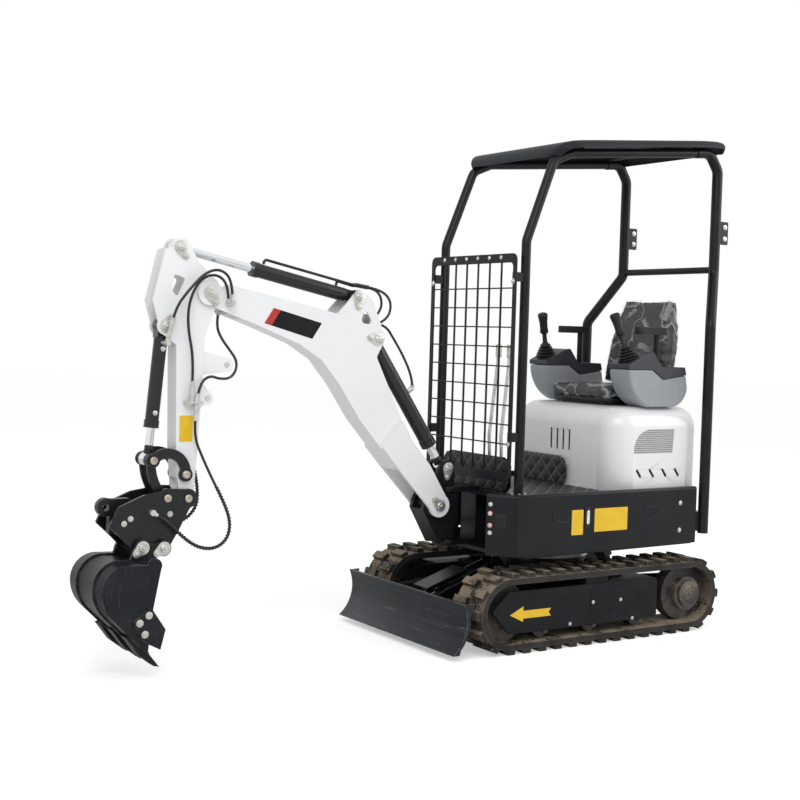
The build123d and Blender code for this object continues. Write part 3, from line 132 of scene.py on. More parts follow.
def add_tube(bm, line, radius, sides=12):
    """A round tube along points, its ring carried on from point to point without a twist."""
    rings = []
    side = None
    for step, spot in enumerate(line):
        ahead = (line[min(step + 1, len(line) - 1)] - line[max(step - 1, 0)]).normalized()
        side = ahead.orthogonal() if side is None else side - ahead * side.dot(ahead)
        side.normalize()
        other = ahead.cross(side)
        angles = [2 * pi * k / sides for k in range(sides)]
        rings.append([bm.verts.new(spot + (side * cos(a) + other * sin(a)) * radius) for a in angles])
    for low, high in zip(rings, rings[1:]):
        for step in range(sides):
            after = (step + 1) % sides
            bm.faces.new((low[step], low[after], high[after], high[step]))
    bm.faces.new(list(reversed(rings[0])))
    bm.faces.new(rings[-1])


def make_piece(name, bm, material, body=None, bevel=0.0, smooth=30):
    """Turn a bmesh into an object, with its finish, its softened edges and the body it rides on."""
    bmesh.ops.recalc_face_normals(bm, faces=bm.faces)
    if bevel:
        sharp = [e for e in bm.edges if len(e.link_faces) == 2 and e.calc_face_angle() > radians(40)]
        bmesh.ops.bevel(bm, geom=sharp, offset=bevel, segments=2, profile=0.6, affect="EDGES",
                        clamp_overlap=True)
    mesh = bpy.data.meshes.new(name)
    bm.to_mesh(mesh)
    bm.free()
    for face in mesh.polygons:
        face.use_smooth = True
    mesh.set_sharp_from_angle(angle=radians(smooth))
    mesh.materials.append(material)
    piece = bpy.data.objects.new(name, mesh)
    bpy.context.collection.objects.link(piece)
    if body:
        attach(piece, body)
    return piece


# %% [markdown]
# ## Node helpers
# Materials are node trees. Two helpers keep them readable: one places a node and wires it in a single
# call, the other starts a node group with named sockets.

# %% Node helpers
def place(tree, kind, feeds=None, **settings):
    """Place a node, set it up, and feed its inputs from sockets or plain values."""
    made = tree.nodes.new(kind)
    for key, value in settings.items():
        setattr(made, key, value)
    for key, value in (feeds or {}).items():
        if isinstance(value, bpy.types.NodeSocket):
            tree.links.new(value, made.inputs[key])
        else:
            made.inputs[key].default_value = value
    return made


def maths(tree, kind, first, second=0.5, clamp=False):
    """One sum on two values."""
    return place(tree, "ShaderNodeMath", {0: first, 1: second}, operation=kind, use_clamp=clamp).outputs[0]


def ramp(tree, value, low, high, to_low=0.0, to_high=1.0):
    """Carry a value from one range to another, held at the ends."""
    feeds = {"Value": value, "From Min": low, "From Max": high, "To Min": to_low, "To Max": to_high}
    return place(tree, "ShaderNodeMapRange", feeds, interpolation_type="SMOOTHSTEP").outputs[0]


def blend_colours(tree, share, first, second):
    """Mix two colours by a share."""
    made = place(tree, "ShaderNodeMix", data_type="RGBA")
    for socket, value in zip((made.inputs[0], made.inputs[6], made.inputs[7]), (share, first, second)):
        if isinstance(value, bpy.types.NodeSocket):
            tree.links.new(value, socket)
        else:
            socket.default_value = value
    return made.outputs[2]


def start_group(name, inputs, outputs):
    """Open a shader node group with named sockets."""
    tree = bpy.data.node_groups.new(name, "ShaderNodeTree")
    for label, kind, value in inputs:
        socket = tree.interface.new_socket(label, in_out="INPUT", socket_type="NodeSocket" + kind)
        socket.default_value = value
    for label, kind in outputs:
        tree.interface.new_socket(label, in_out="OUTPUT", socket_type="NodeSocket" + kind)
    return tree, tree.nodes.new("NodeGroupInput").outputs, tree.nodes.new("NodeGroupOutput").inputs


def add_bump(tree, inputs, height, strength, distance, invert=False):
    """Feed a height into a shader's normal."""
    feeds = {"Height": height, "Strength": strength, "Distance": distance}
    tree.links.new(place(tree, "ShaderNodeBump", feeds, invert=invert).outputs[0], inputs["Normal"])


def start_material(name, colour, **values):
    """A material with its main shader, and the values that stay the same all over it."""
    made = bpy.data.materials.new(name)
    made.use_nodes = True
    made.diffuse_color = (*colour, 1)
    shader = made.node_tree.nodes["Principled BSDF"]
    shader.inputs["Base Color"].default_value = (*colour, 1)
    for key, value in values.items():
        shader.inputs[key.replace("_", " ")].default_value = value
    return made, made.node_tree, shader.inputs


# %% [markdown]
# ## Weather
# A working machine is never one flat colour. Paint varies a little from place to place, and dust settles
# on what faces up. One group does both for every finish, from noise in the object's own coordinates,
# so nothing slides when the camera moves.

# %% Weather group
weather, given, out = start_group(
    "weather",
    (
        ("Color", "Color", (1, 1, 1, 1)),
        ("Dust Color", "Color", (0.3, 0.24, 0.17, 1)),
        ("Dust", "Float", 0.1),
        ("Mottle", "Float", 0.06),
        ("Scale", "Float", 6.0),
        ("Roughness", "Float", 0.4),
        ("Spare Sides", "Float", 0.0),
    ),
    (("Color", "Color"), ("Roughness", "Float"), ("Height", "Float")),
)
spots = place(weather, "ShaderNodeTexCoord").outputs["Object"]
broad = place(weather, "ShaderNodeTexNoise", {"Vector": spots, "Scale": given["Scale"], "Detail": 5.0})
fine_scale = maths(weather, "MULTIPLY", given["Scale"], 11.0)
feeds = {"Vector": spots, "Scale": fine_scale, "Detail": 6.0, "Roughness": 0.65}
fine = place(weather, "ShaderNodeTexNoise", feeds)
normal = place(weather, "ShaderNodeNewGeometry").outputs["Normal"]
facing = place(weather, "ShaderNodeSeparateXYZ", {0: normal})
upward = ramp(weather, facing.outputs["Z"], -0.1, 0.9, 0.25, 1.0)
sideways = ramp(weather, maths(weather, "ABSOLUTE", facing.outputs["Y"]), 0.5, 0.9)
spared = maths(weather, "SUBTRACT", 1.0, maths(weather, "MULTIPLY", sideways, given["Spare Sides"]))
upward = maths(weather, "MULTIPLY", upward, spared)
lightness = ramp(weather, broad.outputs[0], 0.3, 0.7)
swing = maths(weather, "MULTIPLY", maths(weather, "SUBTRACT", lightness, 0.5), given["Mottle"])
value = maths(weather, "ADD", maths(weather, "MULTIPLY", swing, 2.0), 1.0)
toned = place(weather, "ShaderNodeHueSaturation", {"Value": value, "Color": given["Color"]}).outputs[0]
grit = maths(weather, "MULTIPLY", fine.outputs[0], ramp(weather, broad.outputs[0], 0.25, 0.75, 0.55, 1.25))
reach = maths(weather, "SUBTRACT", 0.78, maths(weather, "MULTIPLY", given["Dust"], 0.6))
settled = place(
    weather, "ShaderNodeMapRange",
    {"Value": grit, "From Min": reach, "From Max": maths(weather, "ADD", reach, 0.22)},
    interpolation_type="SMOOTHSTEP",
).outputs[0]
dust = maths(weather, "MULTIPLY", maths(weather, "MULTIPLY", settled, upward), given["Dust"], clamp=True)
dust = maths(weather, "MULTIPLY", dust, 1.8, clamp=True)
weather.links.new(blend_colours(weather, dust, toned, given["Dust Color"]), out["Color"])
rough_gap = maths(weather, "SUBTRACT", 0.92, given["Roughness"])
rough = maths(weather, "ADD", given["Roughness"], maths(weather, "MULTIPLY", rough_gap, dust))
grain = maths(weather, "MULTIPLY", maths(weather, "SUBTRACT", fine.outputs[0], 0.5), 0.12)
weather.links.new(maths(weather, "ADD", rough, grain, clamp=True), out["Roughness"])
weather.links.new(fine.outputs[0], out["Height"])
print("weather group:", len(weather.nodes), "nodes")

# %% [markdown]
# ## Worn edges and scratches
# Paint goes first where steel rubs: on corners, and in long scratches along the way that soil slides.
# A rounded normal that differs from the true one marks a corner. Noise stretched in one direction and
# cut off high gives scratches.

# %% Wear group
wear, given, out = start_group(
    "wear",
    (
        ("Edge", "Float", 0.004),
        ("Stretch", "Vector", (3.0, 3.0, 60.0)),
        ("Scratch", "Float", 0.3),
    ),
    (("Edges", "Float"), ("Scratches", "Float")),
)
spots = place(wear, "ShaderNodeTexCoord").outputs["Object"]
softened = place(wear, "ShaderNodeBevel", {"Radius": given["Edge"]}, samples=4).outputs[0]
true_normal = place(wear, "ShaderNodeNewGeometry").outputs["Normal"]
likeness = place(wear, "ShaderNodeVectorMath", {0: softened, 1: true_normal}, operation="DOT_PRODUCT")
corner = ramp(wear, likeness.outputs["Value"], 0.985, 0.86)
patchy = place(wear, "ShaderNodeTexNoise", {"Vector": spots, "Scale": 34.0, "Detail": 6.0})
corner = maths(wear, "MULTIPLY", corner, ramp(wear, patchy.outputs[0], 0.38, 0.62))
wear.links.new(corner, out["Edges"])
drawn = place(wear, "ShaderNodeVectorMath", {0: spots, 1: given["Stretch"]}, operation="MULTIPLY").outputs[0]
lines = place(wear, "ShaderNodeTexNoise", {"Vector": drawn, "Scale": 2.4, "Detail": 8.0, "Roughness": 0.75})
scratches = maths(wear, "MULTIPLY", ramp(wear, lines.outputs[0], 0.56, 0.7), given["Scratch"])
wear.links.new(scratches, out["Scratches"])
print("wear group:", len(wear.nodes), "nodes")


# %% [markdown]
# ## Finishes
# Each finish is one short function call: a base colour through the weather group, a fine bump, and where
# steel shows through, the wear group on top. The values that never vary, such as the clear coat, stay on
# the shader itself.

# %% Finish builder
def finish(name, colour, rough, dust=0.1, mottle=0.05, scale=6.0, bump=0.0, dust_colour=(0.33, 0.27, 0.2),
           bare=None, edge=0.004, stretch=(3.0, 3.0, 60.0), scratch=0.0, spare=0.0, **values):
    """A weathered finish, with bare metal on its worn edges and scratches where asked."""
    made, tree, inputs = start_material(name, colour, **values)
    skin = place(tree, "ShaderNodeGroup", node_tree=weather)
    for key, value in (("Color", (*colour, 1)), ("Dust Color", (*dust_colour, 1)), ("Dust", dust),
                       ("Mottle", mottle), ("Scale", scale), ("Roughness", rough), ("Spare Sides", spare)):
        skin.inputs[key].default_value = value
    shown = skin.outputs["Color"]
    if bare:
        feeds = {"Edge": edge, "Stretch": stretch, "Scratch": scratch}
        worn = place(tree, "ShaderNodeGroup", feeds, node_tree=wear)
        share = maths(tree, "MAXIMUM", worn.outputs["Edges"], worn.outputs["Scratches"])
        shown = blend_colours(tree, share, shown, (*bare, 1))
    tree.links.new(shown, inputs["Base Color"])
    tree.links.new(skin.outputs["Roughness"], inputs["Roughness"])
    if bump:
        add_bump(tree, inputs, skin.outputs["Height"], bump, 0.001)
    return made


# %% Painted, cast and plated finishes
TAN = (0.34, 0.25, 0.16)
white_paint = finish("white_paint", (0.83, 0.84, 0.85), 0.3, dust=0.08, mottle=0.02, scale=3.0, bump=0.03,
                     dust_colour=(0.5, 0.47, 0.43), Coat_Weight=0.4, Coat_Roughness=0.12)
black_paint = finish("black_paint", (0.008, 0.009, 0.011), 0.34, dust=0.12, mottle=0.2, bump=0.04,
                     dust_colour=(0.06, 0.058, 0.055), Coat_Weight=0.06, Coat_Roughness=0.2,
                     Specular_IOR_Level=0.18)
frame_black = finish("frame_black", (0.009, 0.0095, 0.011), 0.45, dust=0.3, mottle=0.25, scale=9.0, bump=0.08,
                     dust_colour=(0.1, 0.085, 0.07), Specular_IOR_Level=0.15)
tube_black = finish("tube_black", (0.008, 0.009, 0.011), 0.36, dust=0.08, mottle=0.2, scale=14.0, bump=0.06,
                    dust_colour=(0.06, 0.06, 0.055), Coat_Weight=0.06, Coat_Roughness=0.3,
                    Specular_IOR_Level=0.2)
roof_black = finish("roof_black", (0.014, 0.016, 0.02), 0.5, dust=0.2, mottle=0.2, scale=5.0, bump=0.1,
                    dust_colour=(0.1, 0.095, 0.09), Specular_IOR_Level=0.18)
blade_paint = finish("blade_paint", (0.012, 0.015, 0.021), 0.42, dust=0.25, mottle=0.3, scale=7.0, bump=0.1,
                     dust_colour=(0.25, 0.19, 0.13), bare=(0.2, 0.2, 0.21), edge=0.005,
                     stretch=(30.0, 1.5, 30.0), scratch=0.35, Specular_IOR_Level=0.3)
bucket_paint = finish("bucket_paint", (0.011, 0.012, 0.016), 0.4, dust=0.32, mottle=0.3, scale=7.0, bump=0.12,
                      dust_colour=(0.24, 0.16, 0.1), bare=(0.17, 0.15, 0.14), edge=0.005,
                      stretch=(40.0, 40.0, 3.0), scratch=0.2, spare=0.55, Specular_IOR_Level=0.2)
hitch_paint = finish("hitch_paint", (0.008, 0.009, 0.01), 0.36, dust=0.18, mottle=0.25, scale=12.0, bump=0.08,
                     dust_colour=(0.16, 0.12, 0.09), bare=(0.3, 0.29, 0.28), edge=0.0015, Coat_Weight=0.1,
                     Coat_Roughness=0.25, Specular_IOR_Level=0.3)
cylinder_black = finish("cylinder_black", (0.007, 0.008, 0.009), 0.24, dust=0.08, mottle=0.2, scale=16.0,
                        bump=0.03, dust_colour=(0.12, 0.11, 0.1), Coat_Weight=0.25, Coat_Roughness=0.12,
                        Specular_IOR_Level=0.35)
cast_black = finish("cast_black", (0.01, 0.01, 0.012), 0.55, dust=0.2, mottle=0.3, scale=10.0, bump=0.5,
                    dust_colour=(0.12, 0.11, 0.1), Specular_IOR_Level=0.3)
dark_steel = finish("dark_steel", (0.04, 0.036, 0.034), 0.5, dust=0.55, mottle=0.35, scale=12.0, bump=0.3,
                    dust_colour=TAN, bare=(0.26, 0.25, 0.24), edge=0.004)
machined_steel = finish("machined_steel", (0.42, 0.42, 0.43), 0.34, dust=0.3, mottle=0.15, scale=18.0,
                        bump=0.06, dust_colour=(0.2, 0.17, 0.14), Metallic=0.9)
zinc = finish("zinc", (0.6, 0.595, 0.56), 0.34, dust=0.1, mottle=0.15, scale=40.0, bump=0.1,
              dust_colour=(0.3, 0.27, 0.23), Metallic=0.85)
brass_zinc = finish("brass_zinc", (0.46, 0.42, 0.33), 0.36, dust=0.15, mottle=0.2, scale=40.0, bump=0.1,
                    dust_colour=(0.25, 0.21, 0.16), Metallic=0.85)
chrome = finish("chrome", (0.78, 0.79, 0.81), 0.1, dust=0.02, mottle=0.02, scale=30.0,
                dust_colour=(0.35, 0.33, 0.3), Metallic=1.0)
engine_alloy = finish("engine_alloy", (0.2, 0.2, 0.205), 0.55, dust=0.35, mottle=0.3, scale=14.0, bump=0.4,
                      Metallic=0.6)
print("finishes:", len(bpy.data.materials))

# %% Rubber, plastic and vinyl finishes
track_rubber = finish("track_rubber", (0.017, 0.016, 0.0155), 0.7, dust=0.8, mottle=0.35, scale=9.0, bump=0.5,
                      dust_colour=(0.27, 0.215, 0.155), bare=(0.15, 0.125, 0.1), edge=0.005, spare=0.9,
                      Specular_IOR_Level=0.3)
hose_rubber = finish("hose_rubber", (0.009, 0.009, 0.01), 0.42, dust=0.12, mottle=0.2, scale=40.0, bump=0.12,
                     dust_colour=(0.17, 0.15, 0.13))
grip_black = finish("grip_black", (0.009, 0.009, 0.01), 0.5, dust=0.12, mottle=0.2, scale=30.0, bump=0.3,
                    dust_colour=(0.1, 0.095, 0.09), Specular_IOR_Level=0.35)
console_grey = finish("console_grey", (0.29, 0.31, 0.33), 0.48, dust=0.12, mottle=0.05, scale=18.0, bump=0.3,
                      dust_colour=(0.4, 0.38, 0.35))
console_charcoal = finish("console_charcoal", (0.026, 0.029, 0.036), 0.5, dust=0.1, mottle=0.1, scale=18.0,
                          bump=0.35, dust_colour=(0.16, 0.15, 0.14))
plate_yellow = finish("plate_yellow", (0.78, 0.5, 0.01), 0.4, dust=0.12, mottle=0.06, scale=20.0, bump=0.03)
red_sleeve = finish("red_sleeve", (0.45, 0.02, 0.015), 0.45, mottle=0.1, scale=40.0, bump=0.05)
seat_vinyl = finish("seat_vinyl", (0.01, 0.01, 0.011), 0.4, dust=0.06, mottle=0.15, scale=24.0, bump=0.4,
                    dust_colour=(0.1, 0.1, 0.1))
print("finishes:", len(bpy.data.materials))

# %% [markdown]
# ## Dressing the solids
# Each solid gets its finish. The frame's meshes stay as they are, so the soft corner that paint leaves on
# cut plate comes from two modifiers: Weld joins the seams between faces, Bevel rounds what is sharp.

# %% Finish and edge for each node
DRESS = {
    white_paint: ("engine_hood", "boom", "arm"),
    black_paint: ("side_covers", "house_frame", "swing_bracket", "swing_post", "blade_cylinder_guard"),
    frame_black: ("track_frame",),
    tube_black: ("canopy_frame", "front_guard"),
    roof_black: ("canopy_roof",),
    blade_paint: ("blade",),
    bucket_paint: ("bucket",),
    hitch_paint: ("quick_hitch", "tipping_levers", "bucket_link"),
    cylinder_black: (
        "boom_cylinder_barrel", "arm_cylinder_barrel", "bucket_cylinder_barrel",
        "blade_cylinder_barrel", "swing_cylinder_barrel", "arm_cylinder_pipes",
    ),
    cast_black: ("counterweight",),
    dark_steel: ("sprockets", "rollers"),
    machined_steel: ("slew_bearing",),
    zinc: (
        "travel_levers", "boom_fittings", "arm_fittings", "hitch_fittings",
        "bucket_cylinder_fitting", "boom_cylinder_fitting",
    ),
    chrome: (
        "boom_cylinder_rod", "arm_cylinder_rod", "bucket_cylinder_rod",
        "blade_cylinder_rod", "swing_cylinder_rod",
    ),
    engine_alloy: ("engine",),
    grip_black: ("seat_base", "armrests", "joysticks", "hood_grilles"),
    track_rubber: ("track_left", "track_right"),
    hose_rubber: tuple(name for name in nodes if name.startswith("hose_")),
    console_grey: ("console_bases",),
    console_charcoal: ("console_tops",),
    seat_vinyl: ("seat_cushion", "seat_back", "floor_mat"),
}
SOFT_EDGE = {
    "boom": 3, "arm": 3, "swing_post": 3, "quick_hitch": 2.5, "tipping_levers": 2.5, "bucket_link": 2.5,
    "bucket": 2, "blade": 2.5, "track_frame": 4, "side_covers": 3, "console_bases": 14, "console_tops": 12,
    "armrests": 12, "seat_base": 5, "swing_bracket": 3, "counterweight": 8, "sprockets": 4,
    "front_guard": 1, "engine_hood": 1.5,
}
for finish_used, names in DRESS.items():
    for name in names:
        nodes[name].data.materials.clear()
        nodes[name].data.materials.append(finish_used)
for name, width in SOFT_EDGE.items():
    weld = nodes[name].modifiers.new("weld", "WELD")
    weld.merge_threshold = 0.00002
    soften = nodes[name].modifiers.new("soften", "BEVEL")
    soften.width = width / 1000
    soften.segments = 2
    soften.limit_method = "ANGLE"
    soften.angle_limit = radians(38)
    soften.harden_normals = True
undressed = [name for name in nodes if not any(name in names for names in DRESS.values())]
print("nodes without a finish:", undressed)

# %% [markdown]
# ## Hoses
# Hydraulic hose is stiff: it leaves its ferrule straight and swings round in one wide bow. Each hose
# here is a NURBS spline pulled towards the points of its route, and a tube follows the line that the
# spline gives. A hose crosses a joint, but its tube is fixed in place and is not tied to the bodies it joins.

# %% Routes
HOSE_R = 0.0055
HOSES = {
    "hose_bucket_cylinder": (
        (1701, 96, 1495), (1705, 96, 1557), (1757, 98, 1594), (1819, 98, 1577), (1880, 92, 1512),
        (1932, 82, 1440), (1941, 76, 1396),
    ),
    "hose_arm_bulkhead": (
        (1708, 76, 1478), (1712, 76, 1534), (1756, 78, 1572), (1816, 80, 1562), (1858, 80, 1512),
        (1880, 76, 1440), (1876, 70, 1352), (1848, 64, 1240), (1850, 62, 1150),
    ),
    "hose_thumb": (
        (1708, -18, 1412), (1714, -17, 1366), (1692, -13, 1318), (1656, -8, 1272), (1628, 0, 1232),
        (1634, 8, 1188), (1668, 20, 1158), (1726, 40, 1158), (1770, 57, 1171), (1812, 62, 1148),
        (1824, 62, 1100),
    ),
    "hose_hitch_left": (
        (1834, 62, 992), (1838, 64, 930), (1806, 72, 850), (1764, 84, 758), (1718, 94, 668),
        (1690, 102, 590), (1702, 106, 522), (1756, 108, 484), (1830, 108, 492), (1900, 106, 540),
        (1960, 102, 606), (2000, 96, 628),
    ),
    "hose_hitch_right": (
        (1830, -62, 990), (1832, -64, 930), (1796, -66, 850), (1770, -68, 770), (1754, -76, 690),
        (1754, -86, 628), (1796, -92, 578), (1846, -95, 572), (1888, -94, 600),
    ),
    "hose_arm_cylinder_outer": (
        (1016, 14, 1553), (956, 15, 1545), (906, 16, 1508), (900, 14, 1456), (926, 12, 1414),
        (968, 9, 1396),
    ),
    "hose_arm_cylinder_inner": (
        (1006, -14, 1553), (958, -16, 1547), (928, -16, 1506), (934, -14, 1456), (968, -11, 1424),
    ),
    "hose_boom_cylinder": (
        (960, 26, 1396), (925, 24, 1386), (888, 20, 1340), (846, 18, 1284), (806, 16, 1220),
        (780, 12, 1166), (772, 6, 1136),
    ),
}
# The two bodies that each hose joins, and the stretch over which it would turn from one to the other; the
# tubes do not use them.
CROSSES = {
    "hose_bucket_cylinder": ("boom", "arm", (1700, 90, 1550), (1940, 90, 1500)),
    "hose_arm_bulkhead": ("boom", "arm", (1710, 78, 1550), (1900, 78, 1440)),
    "hose_thumb": ("boom", "arm", (1690, 0, 1400), (1740, 40, 1140)),
    "hose_hitch_left": ("arm", "bucket", (1790, 84, 850), (1890, 104, 560)),
    "hose_hitch_right": ("arm", "bucket", (1800, -66, 850), (1880, -94, 590)),
    "hose_arm_cylinder_outer": ("arm_cylinder_barrel", "boom", (1010, 14, 1550), (968, 10, 1400)),
    "hose_arm_cylinder_inner": ("arm_cylinder_barrel", "boom", (1000, -14, 1550), (968, -11, 1430)),
    "hose_boom_cylinder": ("boom", "boom_cylinder_barrel", (940, 24, 1390), (776, 10, 1150)),
}


def smooth_line(name, points):
    """The points along a NURBS spline that the route's points pull into shape."""
    curve = bpy.data.curves.new(name, "CURVE")
    curve.dimensions = "3D"
    curve.resolution_u = 10
    spline = curve.splines.new("NURBS")
    spline.points.add(len(points) - 1)
    for knot, point in zip(spline.points, points):
        knot.co = (*mm(*point), 1)
    spline.order_u = 3
    spline.use_endpoint_u = True
    holder = bpy.data.objects.new(name, curve)
    mesh = bpy.data.meshes.new_from_object(holder)
    line = [vert.co.copy() for vert in mesh.vertices]
    bpy.data.objects.remove(holder)
    bpy.data.meshes.remove(mesh)
    bpy.data.curves.remove(curve)
    return line


def line_length(line):
    """How long a line of points is."""
    return sum((b - a).length for a, b in zip(line, line[1:]))


# %% Hoses
hose_lines = {}
for name, points in HOSES.items():
    line = smooth_line(name + "_route", points)
    hose_lines[name] = line
    bm = bmesh.new()
    add_tube(bm, line, HOSE_R, 14)
    piece = make_piece(name + "_tube", bm, hose_rubber, smooth=60)
    body, far_body, start, end = CROSSES[name]
    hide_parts(name)
    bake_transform(piece)
    print(name, "length", round(line_length(line), 3))

# %% [markdown]
# The hose to the hitch wears a spiral guard where it could rub: a flat strip wound round it. It is a thin
# tube along a helix about the hose's own line, so it follows the hose's curve.

# %% Spiral guard
WRAP_R = HOSE_R + 0.0016


def helix_about(line, radius, pitch, start, end):
    """Points that wind about a line, from one distance along it to another."""
    points, run, side = [], 0.0, None
    for spot, after in zip(line, line[1:]):
        ahead = (after - spot).normalized()
        side = ahead.orthogonal() if side is None else side - ahead * side.dot(ahead)
        side.normalize()
        other = ahead.cross(side)
        length = (after - spot).length
        steps = max(1, int(length / pitch * 10))
        for step in range(steps):
            place_on = run + length * step / steps
            if start < place_on < end:
                angle = 2 * pi * place_on / pitch
                out_way = side * cos(angle) + other * sin(angle)
                points.append(spot + ahead * (length * step / steps) + out_way * radius)
        run += length
    return points


for name, start, end in (("hose_hitch_left", 0.28, 0.8), ("hose_hitch_right", 0.12, 0.46)):
    bm = bmesh.new()
    add_tube(bm, helix_about(hose_lines[name], WRAP_R, 0.013, start, end), 0.0022, 6)
    piece = make_piece(name + "_guard", bm, hose_rubber, smooth=70)
    body, far_body, low, high = CROSSES[name]
    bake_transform(piece)
    print(piece.name, len(piece.data.polygons), "faces")

# %% [markdown]
# ## Pins and their keepers
# Every pivot pin is held by a keeper: a teardrop of plated steel over the pin's end, with one bolt through
# its narrow end. The teardrop's outline is two circles and the lines that touch both.

# %% Keepers
def teardrop(reach, big, small, steps=12):
    """Outline of a plate round two circles, the second a reach away along the first axis."""
    lean = acos((big - small) / reach)
    points = []
    for step in range(steps + 1):
        angle = lean + (2 * pi - 2 * lean) * step / steps
        points.append((big * cos(angle), big * sin(angle)))
    for step in range(steps + 1):
        angle = -lean + 2 * lean * step / steps
        points.append((reach + small * cos(angle), small * sin(angle)))
    return points


def add_bolt(bm, centre, axis, across=14.0, washer=True):
    """A hexagon bolt head on its washer."""
    axis = Vector(axis).normalized()
    if washer:
        add_lathe(bm, ((across * 0.78, 0), (across * 0.78, 1.6)), centre, axis, 20)
    flat = across * 0.56
    head = ((flat, 1.4), (flat, across * 0.36), (flat * 0.86, across * 0.46))
    add_lathe(bm, head, centre, axis, 6)


def add_keeper(bm, spot, face, way, bolt, big=27.0, small=14.0, pin=16.0):
    """A keeper over a pin's end: plate, pin head with its grease nipple, and bolt."""
    reach = Vector((bolt[0], 0, bolt[1]))
    along_way = reach.normalized()
    out_way = Vector((0, way, 0))
    sideways = out_way.cross(along_way)
    origin = mm(spot[0], way * face, spot[1])
    outline = teardrop(reach.length, big, small)
    add_plate(bm, outline, origin, along_way / 1000, sideways / 1000, 0.006)
    head = ((pin, 5), (pin, 10.5), (pin - 2.5, 12.5), (5, 12.5), (4.2, 17), (2.4, 19))
    add_lathe(bm, head, origin, out_way)
    add_bolt(bm, origin + reach / 1000 + out_way * 0.006, out_way, 15)


KEEPERS = (
    ("arm", (1901, 1673), 43, (-20, -34)),
    ("boom", (1778, 1499), 58, (-22, -36)),
    ("arm", (1956, 1363), 43, (-22, 34)),
    ("boom", (1090, 1509), 58, (2, -42)),
    ("boom", (989, 1333), 58, (40, 6)),
    ("swing_post", (600, 765), 55, (4, -40)),
    ("boom", (654, 602), 78, (30, 28)),
    ("bucket", (2060, 506), 97.5, (26, -24)),
    ("bucket", (1972, 499), 97.5, (30, -18)),
)
for body in sorted({row[0] for row in KEEPERS}):
    bm = bmesh.new()
    for _, spot, face, bolt in [row for row in KEEPERS if row[0] == body]:
        for way in (1, -1):
            add_keeper(bm, spot, face, way, bolt)
    piece = make_piece(body + "_keepers", bm, zinc, body, bevel=0.0008)
    print(piece.name, len(piece.data.polygons), "faces")

# %% [markdown]
# The hitch has plain pins instead, with dull yellow-plated heads, and the bolts of its lock.

# %% Hitch pins and lever pins
PIN_HEAD = ((16, 0), (16, 5.5), (13.5, 7.5), (5, 7.5), (4, 5.5))
PIN_SPOTS = (
    ("hitch_pin_heads", "bucket", ((1864, 687), (1952, 691)), 79),
    ("knuckle_pin_heads", "tipping_levers", ((2006, 838),), 62),
    ("lever_pin_heads", "arm", ((1867, 779),), 62),
)
for name, body, spots, face in PIN_SPOTS:
    bm = bmesh.new()
    for x, z in spots:
        for way in (1, -1):
            add_lathe(bm, PIN_HEAD, mm(x, way * face, z), (0, way, 0))
    make_piece(name, bm, brass_zinc, body, bevel=0.0006)
bm = bmesh.new()
for x, z in ((2103, 618), (2129, 600), (1940, 629)):
    for way in (1, -1):
        add_bolt(bm, mm(x, way * 78, z), (0, way, 0), 15)
make_piece("hitch_bolts", bm, zinc, "bucket", bevel=0.0005)
print("hitch pins made")

# %% [markdown]
# ## Bolts on the sheet metal
# Bolts are what gives a machine its scale. They are gathered by body, one mesh for each.

# %% House bolts
GUARD_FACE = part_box("front_guard")[1].x * 1000
bm = bmesh.new()
for y in (-215, -129, -43, 43, 129, 215):
    add_bolt(bm, mm(GUARD_FACE, y, 1706), (1, 0, 0), 12)
for z in (1600, 890):
    for way in (1, -1):
        add_bolt(bm, mm(GUARD_FACE, way * 305, z), (1, 0, 0), 16)
for way in (1, -1):
    for z in (609, 482):
        add_bolt(bm, mm(-455, way * 446, z), (0, way, 0), 14)
    for z in (1860, 1915):
        for face, out_way in ((4, way), (-4, -way)):
            add_bolt(bm, mm(-808, way * (318 + face), z), (0, out_way, 0), 16)
    for step in range(6):
        angle = 2 * pi * step / 6
        spot = mm(394 + 33 * cos(angle), way * 305 + 33 * sin(angle), 670.3)
        add_bolt(bm, spot, (0, 0, 1), 9)
make_piece("house_bolts", bm, zinc, "house", bevel=0.0005)

# %% Slanted panel: bolts, sleeves and the socket plate
PANEL_OUT = Vector((1, 1, 0)).normalized()
PANEL_ALONG = Vector((-1, 1, 0)).normalized()
PANEL_EDGE = mm(600, 349, 0)


def on_panel(run, z, proud=0.0):
    """A point on the slanted front panel, a run back from its front edge."""
    return PANEL_EDGE + (PANEL_ALONG * run + PANEL_OUT * proud) / 1000 + mm(0, 0, z)


bm = bmesh.new()
for z in (640, 601, 550, 517):
    add_bolt(bm, on_panel(18, z, 6 if z in (601, 550) else 0), PANEL_OUT, 12)
make_piece("panel_bolts", bm, zinc, "house", bevel=0.0005)
bm = bmesh.new()
for z in (601, 550):
    add_lathe(bm, ((11, 0), (12, 3), (10, 6.5)), on_panel(18, z), PANEL_OUT, 20)
make_piece("panel_sleeves", bm, red_sleeve, "house")
bm = bmesh.new()
SOCKET = ((-24, -30), (24, -30), (24, 30), (-24, 30))
up_way = Vector((0, 0, 1))
add_plate(bm, SOCKET, on_panel(64, 571), PANEL_ALONG / 1000, up_way / 1000, 0.004)
for u, v in ((-10, 8), (10, 8), (0, -12)):
    centre = on_panel(64 + u, 571 + v, 3)
    add_lathe(bm, ((7, 0), (7, 4), (4.5, 4.5), (4.5, 2)), centre, PANEL_OUT, 16)
make_piece("socket_plate", bm, grip_black, "house", bevel=0.001)
print("slanted panel dressed")

# %% [markdown]
# ## Plates and marks on the side cover
# The cover carries a latch and two plain yellow plates. Two pressed grooves sweep across it like brackets.
# On sheet metal they are shallow channels, so they are made as thin raised ribs with round ends.

